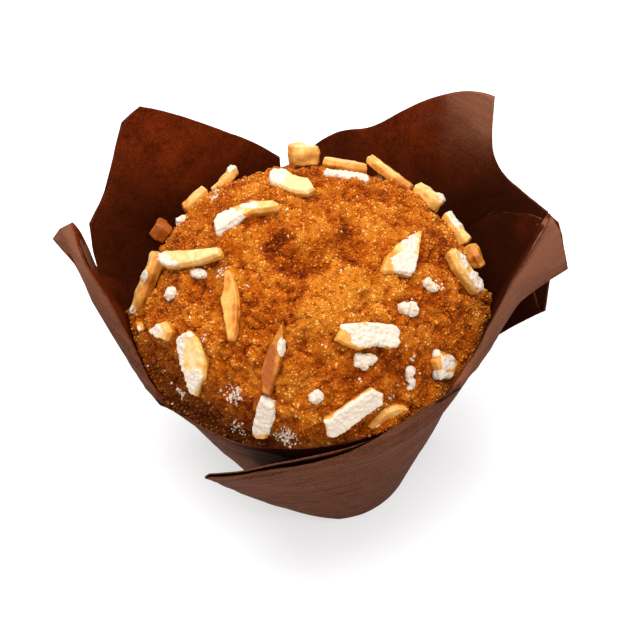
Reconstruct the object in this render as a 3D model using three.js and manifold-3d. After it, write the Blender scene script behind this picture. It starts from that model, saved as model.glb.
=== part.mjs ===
// An almond muffin baked in a folded tulip paper case.
//
// Millimetres, +Z up. The origin is the centre of the flat underside of the paper, so the
// muffin stands on the plane z = 0. Azimuth 0 is +X and grows counter-clockwise from above.
//
// The pieces are the folded paper sheet, the muffin with its small sugar clumps, and the
// slivers and chips of almond that are baked into its crust.

import * as THREE from 'three';
import { mergeVertices } from 'three/addons/utils/BufferGeometryUtils.js';
import Module from 'manifold-3d';

const wasm = await Module();
wasm.setup();

// ---------------------------------------------------------------- driving dimensions

const GAP = 0.3; // between pieces that touch

// The paper
const PAPER_THICKNESS = 0.35;
const LAYER_PITCH = 0.75; // from the middle of one folded layer to the next
const FOOT_RADIUS = 21.3; // middle of the innermost layer where it meets the floor
const FLOOR_THICKNESS = 0.5;
const SHEET_STEP = 4.2; // length of a facet along the sheet
const EDGE_ROOM = 3; // how far past another layer's edge a layer still keeps off it
const FOLD_BULGE = 0.35; // how far the turn of a fold stands past the ends of its layers
const WALL_ROWS = [0, 0.1, 0.24, 0.4, 0.56, 0.72, 0.85]; // shares of the way up the wall
const EDGE_ROWS = [0.91, 0.94, 0.97, 1]; // the same along the last stretch up to a plain edge
const CREST_ROW = 0.96; // share of the way up where a turned-over edge starts to bend
const CURL_ROWS = [0.12, 0.55, 1]; // shares of the way out along a turned-over edge
const CURL_LIFT = 1; // how far a turned-over edge stands off its crest

// The muffin
const MUFFIN_FOOT_RADIUS = 20.8;
const MUFFIN_FOOT_HEIGHT = FLOOR_THICKNESS + GAP;
const MUFFIN_FOOT_ROUND = 1.2;
const CASE_LINE = { radius: 39.6, height: 50 }; // where the baked side turns into the dome
const BRIM_START = 46; // from here the paper gives way to the dome's wider brim
const DOME_RADIUS = 41.2;
const DOME_HEIGHT = 31;
const DOME_LEVEL = 54; // height of the dome's widest ring
const LEAN = new THREE.Vector2(-4, 0.8); // the dome's centre beside that of the foot
const MUFFIN_SECTORS = 76;
const SIDE_RINGS = 5;
const DOME_RINGS = 16;

// The crust's relief: the knob on the summit, the furrow round it, the ridge in front
const KNOB = { radius: 8.5, rise: 1.5 };
const FURROW = { radius: 11.5, width: 3.2, depth: 2.2, from: 170, to: 350, runOut: 35 };
const RIDGE = { azimuth: 282, width: 26, rise: 1.6, from: 55, to: 78, foot: 20, crest: 8 };
const SHOULDER = { azimuth: 202, width: 24, rise: 2.2, to: 40 }; // the crust spills out here
const RELIEF_ROOM = 1.4; // free for the relief where the crust nears the paper
const BRIM_TOP = 58; // up to here the crust stays as wide as the dome
const LUMP_RISE = 0.7;
const CRAG_RISE = 0.35;

const POCKET_GAP = 0.45; // clearance of an almond in its pocket in the crust

// ---------------------------------------------------------------- small helpers

const rad = THREE.MathUtils.degToRad;

// The same numbers on every run, in [0, 1).
function makeRandom(seed) {
  let state = seed;
  return () => {
    state = (state * 1664525 + 1013904223) % 4294967296;
    return state / 4294967296;
  };
}

// Smooth step from 0 at a to 1 at b.
function ease(a, b, x) {
  const t = THREE.MathUtils.clamp((x - a) / (b - a), 0, 1);
  return t * t * (3 - 2 * t);
}

// The turn from one direction to another, in (-pi, pi].
function signedTurn(from, to) {
  return Math.atan2(Math.sin(to - from), Math.cos(to - from));
}

// Centre of the leaning muffin and its case at a height.
function centreAt(z) {
  return LEAN.clone().multiplyScalar(ease(0, DOME_LEVEL, z));
}

// A closed geometry from points and index triples.
function closedGeometry(points, triangles) {
  const geometry = new THREE.BufferGeometry();
  geometry.setAttribute('position', new THREE.Float32BufferAttribute(points.flat(), 3));
  geometry.setIndex(triangles.flat());
  return geometry;
}

function toManifold(geometry) {
  const bare = geometry.clone();
  bare.deleteAttribute('normal');
  bare.deleteAttribute('uv');
  const merged = mergeVertices(bare, 1e-4);
  const vertProperties = new Float32Array(merged.attributes.position.array);
  const triVerts = new Uint32Array(merged.index.array);
  return new wasm.Manifold(new wasm.Mesh({ numProp: 3, vertProperties, triVerts }));
}

function fromManifold(manifold) {
  const { vertProperties, triVerts, numProp } = manifold.getMesh();
  const geometry = new THREE.BufferGeometry();
  const positions = new Float32Array((vertProperties.length / numProp) * 3);
  for (let i = 0; i < positions.length / 3; i++) {
    for (let k = 0; k < 3; k++) positions[i * 3 + k] = vertProperties[i * numProp + k];
  }
  geometry.setAttribute('position', new THREE.BufferAttribute(positions, 3));
  geometry.setIndex([...triVerts]);
  return geometry;
}

// The largest of a solid's separate bodies, without any scrap that a cut left.
function largestBody(manifold) {
  return manifold.decompose().reduce((best, body) => (body.volume() > best.volume() ? body : best));
}

// A monotone cubic through (xs, ys): smooth, and never past the values it joins.
function smoothThrough(xs, ys) {
  const slopes = ys.slice(1).map((y, i) => (y - ys[i]) / (xs[i + 1] - xs[i]));
  const tangents = ys.map((_, i) => {
    const before = slopes[Math.max(i - 1, 0)];
    const after = slopes[Math.min(i, slopes.length - 1)];
    return before * after > 0 ? (2 * before * after) / (before + after) : 0;
  });
  return (i, t) => {
    const h = xs[i + 1] - xs[i];
    const a = ys[i] * (1 + 2 * t) * (1 - t) ** 2 + ys[i + 1] * t * t * (3 - 2 * t);
    return a + h * (tangents[i] * t * (1 - t) ** 2 + tangents[i + 1] * t * t * (t - 1));
  };
}

// ---------------------------------------------------------------- the paper's sheet

// The sheet is followed counter-clockwise along its edge, through three pleats' worth of
// folds, until it meets itself in front. A station says where the edge (or, where it is
// turned over, the crest) is, as azimuth in degrees, radius and height; from which azimuth
// of the foot it rises; and in which layer it starts: 0 against the muffin, 2 outermost.
// sweep makes a fold turn early on its way up, flare keeps the wall near the muffin and
// bends it out near the top, over is where a turned-over edge ends, and corner marks a
// corner of the sheet or a fold.
function station(edge, foot, layer, more = {}) {
  return { edge, foot, layer, sweep: 1, flare: 1, over: null, corner: false, ...more };
}

const FOLD = { corner: true, sweep: 5.5 };
const LOOSE_FOLD = { corner: true, sweep: 2, flare: 2.4 };

const FRONT_RIGHT_PETAL = [
  station([239.6, 57.7, 52.5], 275, 2, FOLD),
  station([251, 49.9, 51.8], 283, 2, { sweep: 3 }),
  station([261.7, 45.9, 51.4], 290, 2, { sweep: 2 }),
  station([275.1, 43.1, 54], 299, 1.8),
  station([288.5, 42.4, 58.3], 308, 1.5),
  station([303.8, 40.8, 60], 318, 1.2),
  station([315, 39.8, 61], 325, 1, { over: [316, 42.4, 60.6] }),
  station([326, 39.4, 63], 332, 0.8, { over: [331, 41.4, 58.8] }),
  station([339, 39.9, 66], 342, 0.5, { over: [345, 42.4, 58.5] }),
  station([354.6, 42.8, 70.2], 352, 0.3, { over: [358, 46.4, 61] }),
  station([363.4, 47.9, 75], 357.5, 0.2, { over: [363, 53.2, 63] }),
  station([374.3, 55.2, 76.5], 364, 0, { over: [368, 59.7, 62], corner: true }),
  station([375.6, 55.2, 75.8], 366, 0, { over: [371.6, 58.6, 70.5] }),
  station([377.1, 55.1, 71.5], 368, 0),
  station([387, 53.6, 65.5], 372, 0),
  station([396, 51.5, 60], 375, 0),
  station([400, 47.6, 54], 377, 0, FOLD),
];

const RIGHT_RETURN = [
  station([399, 49.4, 54], 376, 1, FOLD),
  station([384, 53.6, 51], 373, 1, { flare: 2 }),
  station([367.8, 53.6, 48], 370, 1, LOOSE_FOLD),
];

const BACK_RIGHT_PETAL = [
  station([367.2, 54.9, 48], 371, 2, LOOSE_FOLD),
  station([376, 58.4, 51], 376, 2, { flare: 2 }),
  station([388.3, 63.5, 60], 383, 2),
  station([395.5, 60.3, 63], 388, 2),
  station([399.1, 57.8, 66.5], 392, 2),
  station([403.2, 56.7, 71.5], 398, 2),
  station([408.5, 63.1, 84], 406, 2, { corner: true, flare: 1.15 }),
  station([414.5, 62.6, 83], 410, 2, { flare: 1.15 }),
  station([420.1, 61.3, 80], 414, 2, { flare: 1.15 }),
  station([430.3, 59.1, 72], 423, 2, { flare: 1.15 }),
  station([440.1, 58.1, 63], 432, 2),
  station([445.7, 59.8, 60.8], 438, 2),
  station([452.7, 60.8, 54.5], 446, 2),
  station([461.7, 60.5, 46], 453, 2),
  station([473, 59.5, 43], 460, 2, FOLD),
];

const BACK_RETURN = [
  station([472.5, 58.3, 43], 459, 1, FOLD),
  station([463.8, 57, 52], 456.5, 1, FOLD),
];

const BACK_LEFT_PETAL = [
  station([463.2, 55.6, 56], 457.5, 0, FOLD),
  station([467.4, 56.3, 60.2], 462, 0),
  station([478.9, 57.9, 69.2], 474, 0),
  station([489.8, 61.9, 78.2], 484, 0, { flare: 1.15 }),
  station([496.7, 65.2, 83], 492, 0.3, { corner: true, flare: 1.15 }),
  station([500, 68.5, 78], 498, 0.6, { flare: 1.1 }),
  station([503, 68.8, 68.2], 503, 1),
  station([505.8, 68.8, 59], 508, 1.3),
  station([513.4, 68.6, 55], 514, 1.6),
  station([518.7, 63.4, 47], 520, 1.8),
  station([525, 60.6, 46.5], 525, 2),
  station([529.5, 64, 55.5], 529, 2, FOLD),
];

const LEFT_RETURN = [
  station([529.2, 62.8, 54.5], 528, 1, FOLD),
  station([524.4, 59.2, 45.5], 523.5, 1, FOLD),
];

const FRONT_LEFT_PETAL = [
  station([524.2, 58, 45.5], 524.5, 0, FOLD),
  station([526.2, 60, 58], 526.5, 0),
  station([526.1, 62.5, 68], 528, 0, { over: [526.8, 64.6, 67.5] }),
  station([526.4, 63.7, 72.2], 529, 0, { over: [528.6, 69.9, 67], corner: true }),
  station([537.4, 58.7, 69.5], 538, 0, { over: [532.6, 62.9, 63.2] }),
  station([543.6, 53.5, 66.2], 546, 0, { over: [541, 58, 60.3] }),
  station([556.2, 48.9, 60.5], 558, 0, { over: [551.5, 52.2, 54.3] }),
  station([567.5, 47.7, 55.7], 569, 0, { over: [565, 49.2, 50.6] }),
  station([575, 47, 54], 577, 0, { over: [575, 49.4, 53.4] }),
  station([583, 46.3, 52.6], 584, 0),
  station([600.3, 43.1, 51.5], 602, 0),
  station([620.6, 41.6, 54], 621, 0),
  station([642, 41.4, 56.5], 637, 0),
  station([649, 40.9, 57], 641, 0, FOLD),
];

const FRONT_RETURN = [
  station([648.6, 41.9, 56.6], 640, 1, FOLD),
  station([624, 45, 54], 637, 1, { sweep: 2 }),
  station([600, 56.7, 53.2], 634, 1, FOLD),
];

const SHEET = [
  FRONT_RIGHT_PETAL,
  RIGHT_RETURN,
  BACK_RIGHT_PETAL,
  BACK_RETURN,
  BACK_LEFT_PETAL,
  LEFT_RETURN,
  FRONT_LEFT_PETAL,
  FRONT_RETURN,
];

// How the legs of the sheet lie on one another, from the muffin outwards.
const STACKING = [
  FRONT_LEFT_PETAL,
  LEFT_RETURN,
  FRONT_RETURN,
  BACK_LEFT_PETAL,
  FRONT_RIGHT_PETAL,
  BACK_RETURN,
  RIGHT_RETURN,
  BACK_RIGHT_PETAL,
];

// Azimuth, radius and height about the foot, as angle, radius and height about the leaning
// centre line. near picks the turn that the angle belongs to.
function aboutLean([azimuth, radius, height], near) {
  const centre = centreAt(height);
  const x = radius * Math.cos(rad(azimuth)) - centre.x;
  const y = radius * Math.sin(rad(azimuth)) - centre.y;
  const angle = near + signedTurn(near, Math.atan2(y, x));
  return [angle, Math.hypot(x, y), height];
}

function toPoint([angle, radius, height]) {
  const centre = centreAt(height);
  const x = centre.x + radius * Math.cos(angle);
  const y = centre.y + radius * Math.sin(angle);
  return new THREE.Vector3(x, y, height);
}

// Radius of the muffin inside the paper, with room for its crust's relief.
function muffinReach(angle, height) {
  const side = THREE.MathUtils.mapLinear(
    height, MUFFIN_FOOT_HEIGHT, CASE_LINE.height, MUFFIN_FOOT_RADIUS, CASE_LINE.radius);
  const brim = DOME_RADIUS + RELIEF_ROOM + SHOULDER.rise * shoulderShare(angle);
  if (height <= CASE_LINE.height) return THREE.MathUtils.lerp(side, brim, ease(BRIM_START, CASE_LINE.height, height));
  return brim * Math.sqrt(Math.max(0, 1 - (Math.max(height - BRIM_TOP, 0) / DOME_HEIGHT) ** 2));
}

// The wall's line over one station, share 0 at the foot and 1 at the edge or crest.
function wallAt({ edge, foot, layer, sweep, flare }, share) {
  const top = aboutLean(edge, rad(edge[0]));
  const start = FOOT_RADIUS + layer * LAYER_PITCH;
  const turned = 1 - (1 - share) ** sweep;
  const angle = THREE.MathUtils.lerp(rad(foot), top[0], turned);
  const height = top[2] * share;
  const hug = muffinReach(angle, height) + GAP + PAPER_THICKNESS / 2 + layer * LAYER_PITCH;
  return [angle, Math.max(THREE.MathUtils.lerp(start, top[1], share ** flare), hug), height];
}

// The last rows of a station: on up to a plain edge, or over the crest of a turned-over one.
function edgeRows(item) {
  if (!item.over) return EDGE_ROWS.map((share) => wallAt(item, share));
  const crest = wallAt(item, 1);
  const tip = aboutLean(item.over, crest[0]);
  const curl = CURL_ROWS.map((share) => {
    const row = crest.map((value, k) => THREE.MathUtils.lerp(value, tip[k], share));
    row[1] += CURL_LIFT * 4 * share * (1 - share);
    row[2] += CURL_LIFT * 2 * share * (1 - share);
    return row;
  });
  return [wallAt(item, CREST_ROW), ...curl];
}

function stationRows(item) {
  return [...WALL_ROWS.map((share) => wallAt(item, share)), ...edgeRows(item)];
}

// The columns of one leg of the sheet, from fold to fold; each is a list of rows of angle,
// radius and height about the leaning centre line.
function legColumns(leg) {
  const knots = leg.map((item) => ({ corner: item.corner, rows: stationRows(item) }));
  const columns = [];
  let start = 0;
  for (let end = 1; end < knots.length; end++) {
    if (!knots[end].corner) continue;
    columns.push(...stretchColumns(knots.slice(start, end + 1)));
    start = end;
  }
  return [...columns, knots.at(-1).rows];
}

// The columns of one smooth stretch between two corners, without its last one.
function stretchColumns(knots) {
  const edges = knots.map(({ rows }) => toPoint(rows.at(-1)));
  const feet = knots.map(({ rows }) => toPoint(rows[0]));
  const along = [0];
  for (let i = 1; i < knots.length; i++) {
    const length = edges[i].distanceTo(edges[i - 1]) + feet[i].distanceTo(feet[i - 1]);
    along.push(along[i - 1] + Math.max(length / 2, 0.1));
  }
  const rowCount = knots[0].rows.length;
  const curves = Array.from({ length: rowCount }, (_, j) =>
    [0, 1, 2].map((k) => smoothThrough(along, knots.map(({ rows }) => rows[j][k]))));
  const columns = [];
  for (let i = 0; i + 1 < knots.length; i++) {
    const count = Math.max(1, Math.round((along[i + 1] - along[i]) / SHEET_STEP));
    for (let step = 0; step < count; step++) {
      columns.push(curves.map((row) => row.map((curve) => curve(i, step / count))));
    }
  }
  return columns;
}

// Where a column's wall passes a height, as angle and radius, or null above its edge.
function columnAt(column, height) {
  const crest = column.findIndex((row, j) => j + 1 === column.length || column[j + 1][2] < row[2]);
  if (height > column[crest][2] + EDGE_ROOM) return null;
  const above = column.findIndex((row, j) => j > 0 && (row[2] >= height || j === crest));
  const [low, high] = [column[above - 1], column[above]];
  const share = THREE.MathUtils.clamp((height - low[2]) / (high[2] - low[2]), 0, 1);
  return [0, 1].map((k) => THREE.MathUtils.lerp(low[k], high[k], share));
}

// How far out a leg of the sheet stands at an angle and height, 0 where it has no paper.
function legReach(columns, angle, height) {
  const slice = columns.map((column) => columnAt(column, height));
  let reach = 0;
  for (let i = 0; i + 1 < slice.length; i++) {
    if (!slice[i] || !slice[i + 1]) continue;
    const [fromAngle, fromRadius] = slice[i];
    const [toAngle, toRadius] = slice[i + 1];
    const turns = Math.round(((fromAngle + toAngle) / 2 - angle) / (2 * Math.PI));
    const at = angle + turns * 2 * Math.PI;
    const room = EDGE_ROOM / fromRadius;
    if (at < Math.min(fromAngle, toAngle) - room) continue;
    if (at > Math.max(fromAngle, toAngle) + room) continue;
    const share = fromAngle === toAngle ? 0.5 : (at - fromAngle) / (toAngle - fromAngle);
    const radius = THREE.MathUtils.lerp(fromRadius, toRadius, THREE.MathUtils.clamp(share, 0, 1));
    reach = Math.max(reach, radius);
  }
  return reach;
}

// Outward normals of a grid of points, with one-sided differences at its ends.
function gridNormals(columns) {
  return columns.map((column, i) => column.map((_, j) => {
    const next = columns[Math.min(i + 1, columns.length - 1)][j];
    const previous = columns[Math.max(i - 1, 0)][j];
    const above = column[Math.min(j + 1, column.length - 1)];
    const below = column[Math.max(j - 1, 0)];
    return next.clone().sub(previous).cross(above.clone().sub(below)).normalize();
  }));
}

// The column at the very turn of a fold between one leg's last column and the next's first.
function foldColumn(before, last, first) {
  const points = last.map((point, j) => {
    const onward = point.clone().sub(before[j]).setZ(0).normalize();
    return point.clone().lerp(first[j], 0.5).addScaledVector(onward, FOLD_BULGE);
  });
  const normals = gridNormals([last, points, first])[1];
  return { points, normals };
}

// The middle of the whole sheet: columns of points with their normals, in order along its
// edge. Each leg is pressed out until it lies on the legs beneath it.
function sheetColumns() {
  const placed = new Map();
  for (const leg of STACKING) {
    const beneath = [...placed.values()];
    placed.set(leg, legColumns(leg).map((column) => column.map(([angle, radius, height]) => {
      const reaches = beneath.map((columns) => legReach(columns, angle, height) + LAYER_PITCH);
      return [angle, Math.max(radius, ...reaches), height];
    })));
  }
  const legs = SHEET.map((leg) => placed.get(leg).map((column) => column.map(toPoint)));
  return legs.flatMap((columns, i) => {
    const normals = gridNormals(columns);
    const turn = foldColumn(columns.at(-2), columns.at(-1), legs[(i + 1) % legs.length][0]);
    return [...columns.map((points, k) => ({ points, normals: normals[k] })), turn];
  });
}

// The folded wall as one closed band of paper, both faces, its edge and its foot.
function foldedWall(columns) {
  const count = columns.length;
  const rows = columns[0].points.length;
  const points = [];
  for (const side of [0.5, -0.5]) {
    for (const column of columns) {
      column.points.forEach((point, j) => {
        const normal = column.normals[j].clone();
        if (j === 0) normal.setZ(0).normalize();
        points.push(point.clone().addScaledVector(normal, side * PAPER_THICKNESS).toArray());
      });
    }
  }
  const outer = (i, j) => (i % count) * rows + j;
  const inner = (i, j) => count * rows + outer(i, j);
  const triangles = [];
  const quad = (a, b, c, d) => triangles.push([a, b, c], [a, c, d]);
  for (let i = 0; i < count; i++) {
    for (let j = 0; j + 1 < rows; j++) {
      quad(outer(i, j), outer(i + 1, j), outer(i + 1, j + 1), outer(i, j + 1));
      quad(inner(i, j), inner(i, j + 1), inner(i + 1, j + 1), inner(i + 1, j));
    }
    quad(outer(i, rows - 1), outer(i + 1, rows - 1), inner(i + 1, rows - 1), inner(i, rows - 1));
    quad(outer(i, 0), inner(i, 0), inner(i + 1, 0), outer(i + 1, 0));
  }
  return closedGeometry(points, triangles);
}

// How far the outermost layer stands from the middle at the foot, in one direction.
function footReach(columns, angle) {
  let reach = FOOT_RADIUS;
  columns.forEach(({ points: [foot] }, i) => {
    const nextFoot = columns[(i + 1) % columns.length].points[0];
    const from = Math.atan2(foot.y, foot.x);
    const span = signedTurn(from, Math.atan2(nextFoot.y, nextFoot.x));
    const share = span === 0 ? -1 : signedTurn(from, angle) / span;
    if (share < 0 || share > 1) return;
    reach = Math.max(reach, THREE.MathUtils.lerp(foot.length(), nextFoot.length(), share));
  });
  return reach;
}

// The paper's flat floor, out to the outermost layer.
function paperFloor(columns) {
  const corners = 60;
  const outline = Array.from({ length: corners }, (_, i) => {
    const angle = ((i + 0.37) / corners) * 2 * Math.PI;
    const reach = footReach(columns, angle);
    return new THREE.Vector2(reach * Math.cos(angle), reach * Math.sin(angle));
  });
  return new THREE.ExtrudeGeometry(new THREE.Shape(outline), {
    depth: FLOOR_THICKNESS,
    bevelEnabled: false,
    steps: 1,
  });
}

function makePaperCase() {
  const columns = sheetColumns();
  const wall = toManifold(foldedWall(columns));
  return fromManifold(largestBody(wall.add(toManifold(paperFloor(columns)))));
}

// ---------------------------------------------------------------- the muffin

// Share of the shoulder's rise in one direction.
function shoulderShare(azimuth) {
  const degrees = THREE.MathUtils.radToDeg(signedTurn(rad(SHOULDER.azimuth), azimuth));
  return Math.exp(-((degrees / SHOULDER.width) ** 2));
}

// Height of the crust's relief where the dome has this azimuth and elevation, in radians.
function domeRelief(azimuth, elevation) {
  const out = DOME_RADIUS * Math.cos(elevation);
  const x = out * Math.cos(azimuth);
  const y = out * Math.sin(azimuth);
  const z = DOME_HEIGHT * Math.sin(elevation);
  const degrees = ((THREE.MathUtils.radToDeg(azimuth) % 360) + 360) % 360;
  const lumps = Math.sin(x * 0.29 + 1.3) * Math.cos(y * 0.26 - 0.4)
    + 0.7 * Math.sin(y * 0.41 + x * 0.13 + 2.1) * Math.cos(z * 0.33 + 0.5);
  const crags = Math.sin(x * 0.83 + y * 0.31) * Math.sin(y * 0.77 - z * 0.52 + 1.1)
    + 0.8 * Math.cos(z * 0.9 - x * 0.6 + 0.7);
  const knob = KNOB.rise * (1 - ease(KNOB.radius * 0.6, KNOB.radius * 1.25, out));
  const aroundFurrow = ease(FURROW.from, FURROW.from + FURROW.runOut, degrees)
    * (1 - ease(FURROW.to - FURROW.runOut, FURROW.to, degrees));
  const furrow = FURROW.depth * aroundFurrow
    * Math.exp(-(((out - FURROW.radius) / FURROW.width) ** 2));
  const ridgeShare = Math.exp(-(((degrees - RIDGE.azimuth) / RIDGE.width) ** 2));
  const degreesUp = THREE.MathUtils.radToDeg(elevation);
  const ridge = RIDGE.rise * ridgeShare
    * ease(RIDGE.from - RIDGE.foot, RIDGE.from, degreesUp)
    * (1 - ease(RIDGE.to - RIDGE.crest, RIDGE.to, degreesUp));
  const shoulder = SHOULDER.rise * shoulderShare(azimuth) * (1 - ease(0, SHOULDER.to, degreesUp));
  const fade = ease(rad(-6), rad(14), elevation);
  return knob - furrow + ridge + shoulder + fade * (LUMP_RISE * lumps + CRAG_RISE * crags);
}

// A point of the crust: azimuth and elevation on the dome in radians, and a lift off it.
function domePoint(azimuth, elevation, lift = 0) {
  const normal = domeNormal(azimuth, elevation);
  const height = domeRelief(azimuth, elevation) + lift;
  return new THREE.Vector3(
    LEAN.x + DOME_RADIUS * Math.cos(elevation) * Math.cos(azimuth),
    LEAN.y + DOME_RADIUS * Math.cos(elevation) * Math.sin(azimuth),
    DOME_LEVEL + DOME_HEIGHT * Math.sin(elevation),
  ).addScaledVector(normal, height);
}

function domeNormal(azimuth, elevation) {
  return new THREE.Vector3(
    Math.cos(elevation) * Math.cos(azimuth) / DOME_RADIUS,
    Math.cos(elevation) * Math.sin(azimuth) / DOME_RADIUS,
    Math.sin(elevation) / DOME_HEIGHT,
  ).normalize();
}

// The whole muffin before anything is set into it: foot, baked side, dome.
function muffinBody() {
  const rings = [];
  const sideRing = (radius, height) => {
    const centre = centreAt(height);
    return Array.from({ length: MUFFIN_SECTORS }, (_, i) => {
      const angle = (i / MUFFIN_SECTORS) * 2 * Math.PI;
      return [centre.x + radius * Math.cos(angle), centre.y + radius * Math.sin(angle), height];
    });
  };
  rings.push(sideRing(MUFFIN_FOOT_RADIUS - MUFFIN_FOOT_ROUND, MUFFIN_FOOT_HEIGHT));
  for (let i = 0; i <= SIDE_RINGS; i++) {
    const share = i / SIDE_RINGS;
    const height = THREE.MathUtils.lerp(MUFFIN_FOOT_HEIGHT + MUFFIN_FOOT_ROUND, CASE_LINE.height, share);
    rings.push(sideRing(THREE.MathUtils.lerp(MUFFIN_FOOT_RADIUS, CASE_LINE.radius, share), height));
  }
  for (let i = 0; i < DOME_RINGS; i++) {
    const elevation = THREE.MathUtils.lerp(rad(-5), rad(86), i / (DOME_RINGS - 1));
    rings.push(Array.from({ length: MUFFIN_SECTORS }, (_, k) =>
      domePoint((k / MUFFIN_SECTORS) * 2 * Math.PI, elevation).toArray()));
  }
  const points = rings.flat();
  const bottom = points.push([0, 0, MUFFIN_FOOT_HEIGHT]) - 1;
  const summit = points.push(domePoint(0, rad(90)).toArray()) - 1;
  const at = (ring, i) => ring * MUFFIN_SECTORS + (i % MUFFIN_SECTORS);
  const triangles = [];
  for (let i = 0; i < MUFFIN_SECTORS; i++) {
    triangles.push([bottom, at(0, i + 1), at(0, i)]);
    for (let ring = 0; ring + 1 < rings.length; ring++) {
      triangles.push([at(ring, i), at(ring, i + 1), at(ring + 1, i + 1)]);
      triangles.push([at(ring, i), at(ring + 1, i + 1), at(ring + 1, i)]);
    }
    triangles.push([summit, at(rings.length - 1, i), at(rings.length - 1, i + 1)]);
  }
  return toManifold(closedGeometry(points, triangles));
}

// Sets a geometry on the crust: its X along heading (degrees from the counter-clockwise
// direction towards the summit), its Z out of the crust, tipped up at its X end by tilt.
function setOnCrust(geometry, { azimuth, elevation, heading, tilt = 0, lift = 0 }) {
  const a = rad(azimuth);
  const e = rad(elevation);
  const out = domeNormal(a, e);
  const round = new THREE.Vector3(-Math.sin(a), Math.cos(a), 0);
  const upward = new THREE.Vector3().crossVectors(out, round);
  const along = round.clone().multiplyScalar(Math.cos(rad(heading)))
    .addScaledVector(upward, Math.sin(rad(heading)));
  const across = new THREE.Vector3().crossVectors(out, along);
  const turn = new THREE.Matrix4().makeBasis(along, across, out);
  turn.multiply(new THREE.Matrix4().makeRotationY(rad(-tilt)));
  turn.setPosition(domePoint(a, e, lift));
  return geometry.clone().applyMatrix4(turn);
}

// Small clumps of sugar, baked onto the crust: where they are, and their size across.
const SUGAR_CLUMPS = [
  { name: 'broad', azimuth: 291, elevation: 35, heading: -20, size: [6.4, 4.6, 2.6] },
  { name: 'right', azimuth: 319, elevation: 45, heading: -35, size: [5.6, 4.2, 3] },
  { name: 'right_high', azimuth: 339, elevation: 43.5, heading: -100, size: [5, 3.4, 2.4] },
  { name: 'right_long', azimuth: 306.7, elevation: 21, heading: -108, size: [6.4, 2.8, 2.2] },
  { name: 'front', azimuth: 271, elevation: 24, heading: 40, size: [4, 3.4, 2.4] },
  { name: 'front_left', azimuth: 243, elevation: 18, heading: 22, size: [5, 4.4, 1.8] },
  { name: 'left', azimuth: 195.5, elevation: 33, heading: 50, size: [3.8, 3.6, 2.6] },
  { name: 'left_high', azimuth: 197, elevation: 47, heading: 50, size: [5.2, 3, 2] },
  { name: 'left_back', azimuth: 150, elevation: 25, heading: 8, size: [4.4, 3, 2.4] },
];
const CLUMP_JITTER = 0.22;
const CLUMP_LIFT = 0.22; // share of its height by which its middle stands off the crust

function sugarClump({ size }, random) {
  const geometry = mergeVertices(bare(new THREE.IcosahedronGeometry(0.5, 1)), 1e-4);
  const position = geometry.attributes.position;
  for (let i = 0; i < position.count; i++) {
    const scale = 1 + CLUMP_JITTER * (2 * random() - 1);
    position.setXYZ(
      i,
      position.getX(i) * size[0] * scale,
      position.getY(i) * size[1] * scale,
      position.getZ(i) * size[2] * scale,
    );
  }
  return geometry;
}

function bare(geometry) {
  geometry.deleteAttribute('normal');
  geometry.deleteAttribute('uv');
  return geometry;
}

// ---------------------------------------------------------------- the almonds

// The outline of a plain bar of almond; tip and butt are its end widths as shares.
function bar(length, width, tip = 0.7, butt = 0.7) {
  return [
    [-length / 2, (-butt * width) / 2],
    [0, -width / 2],
    [length / 2, (-tip * width) / 2],
    [length / 2, (tip * width) / 2],
    [0, width / 2],
    [-length / 2, (butt * width) / 2],
  ];
}

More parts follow.
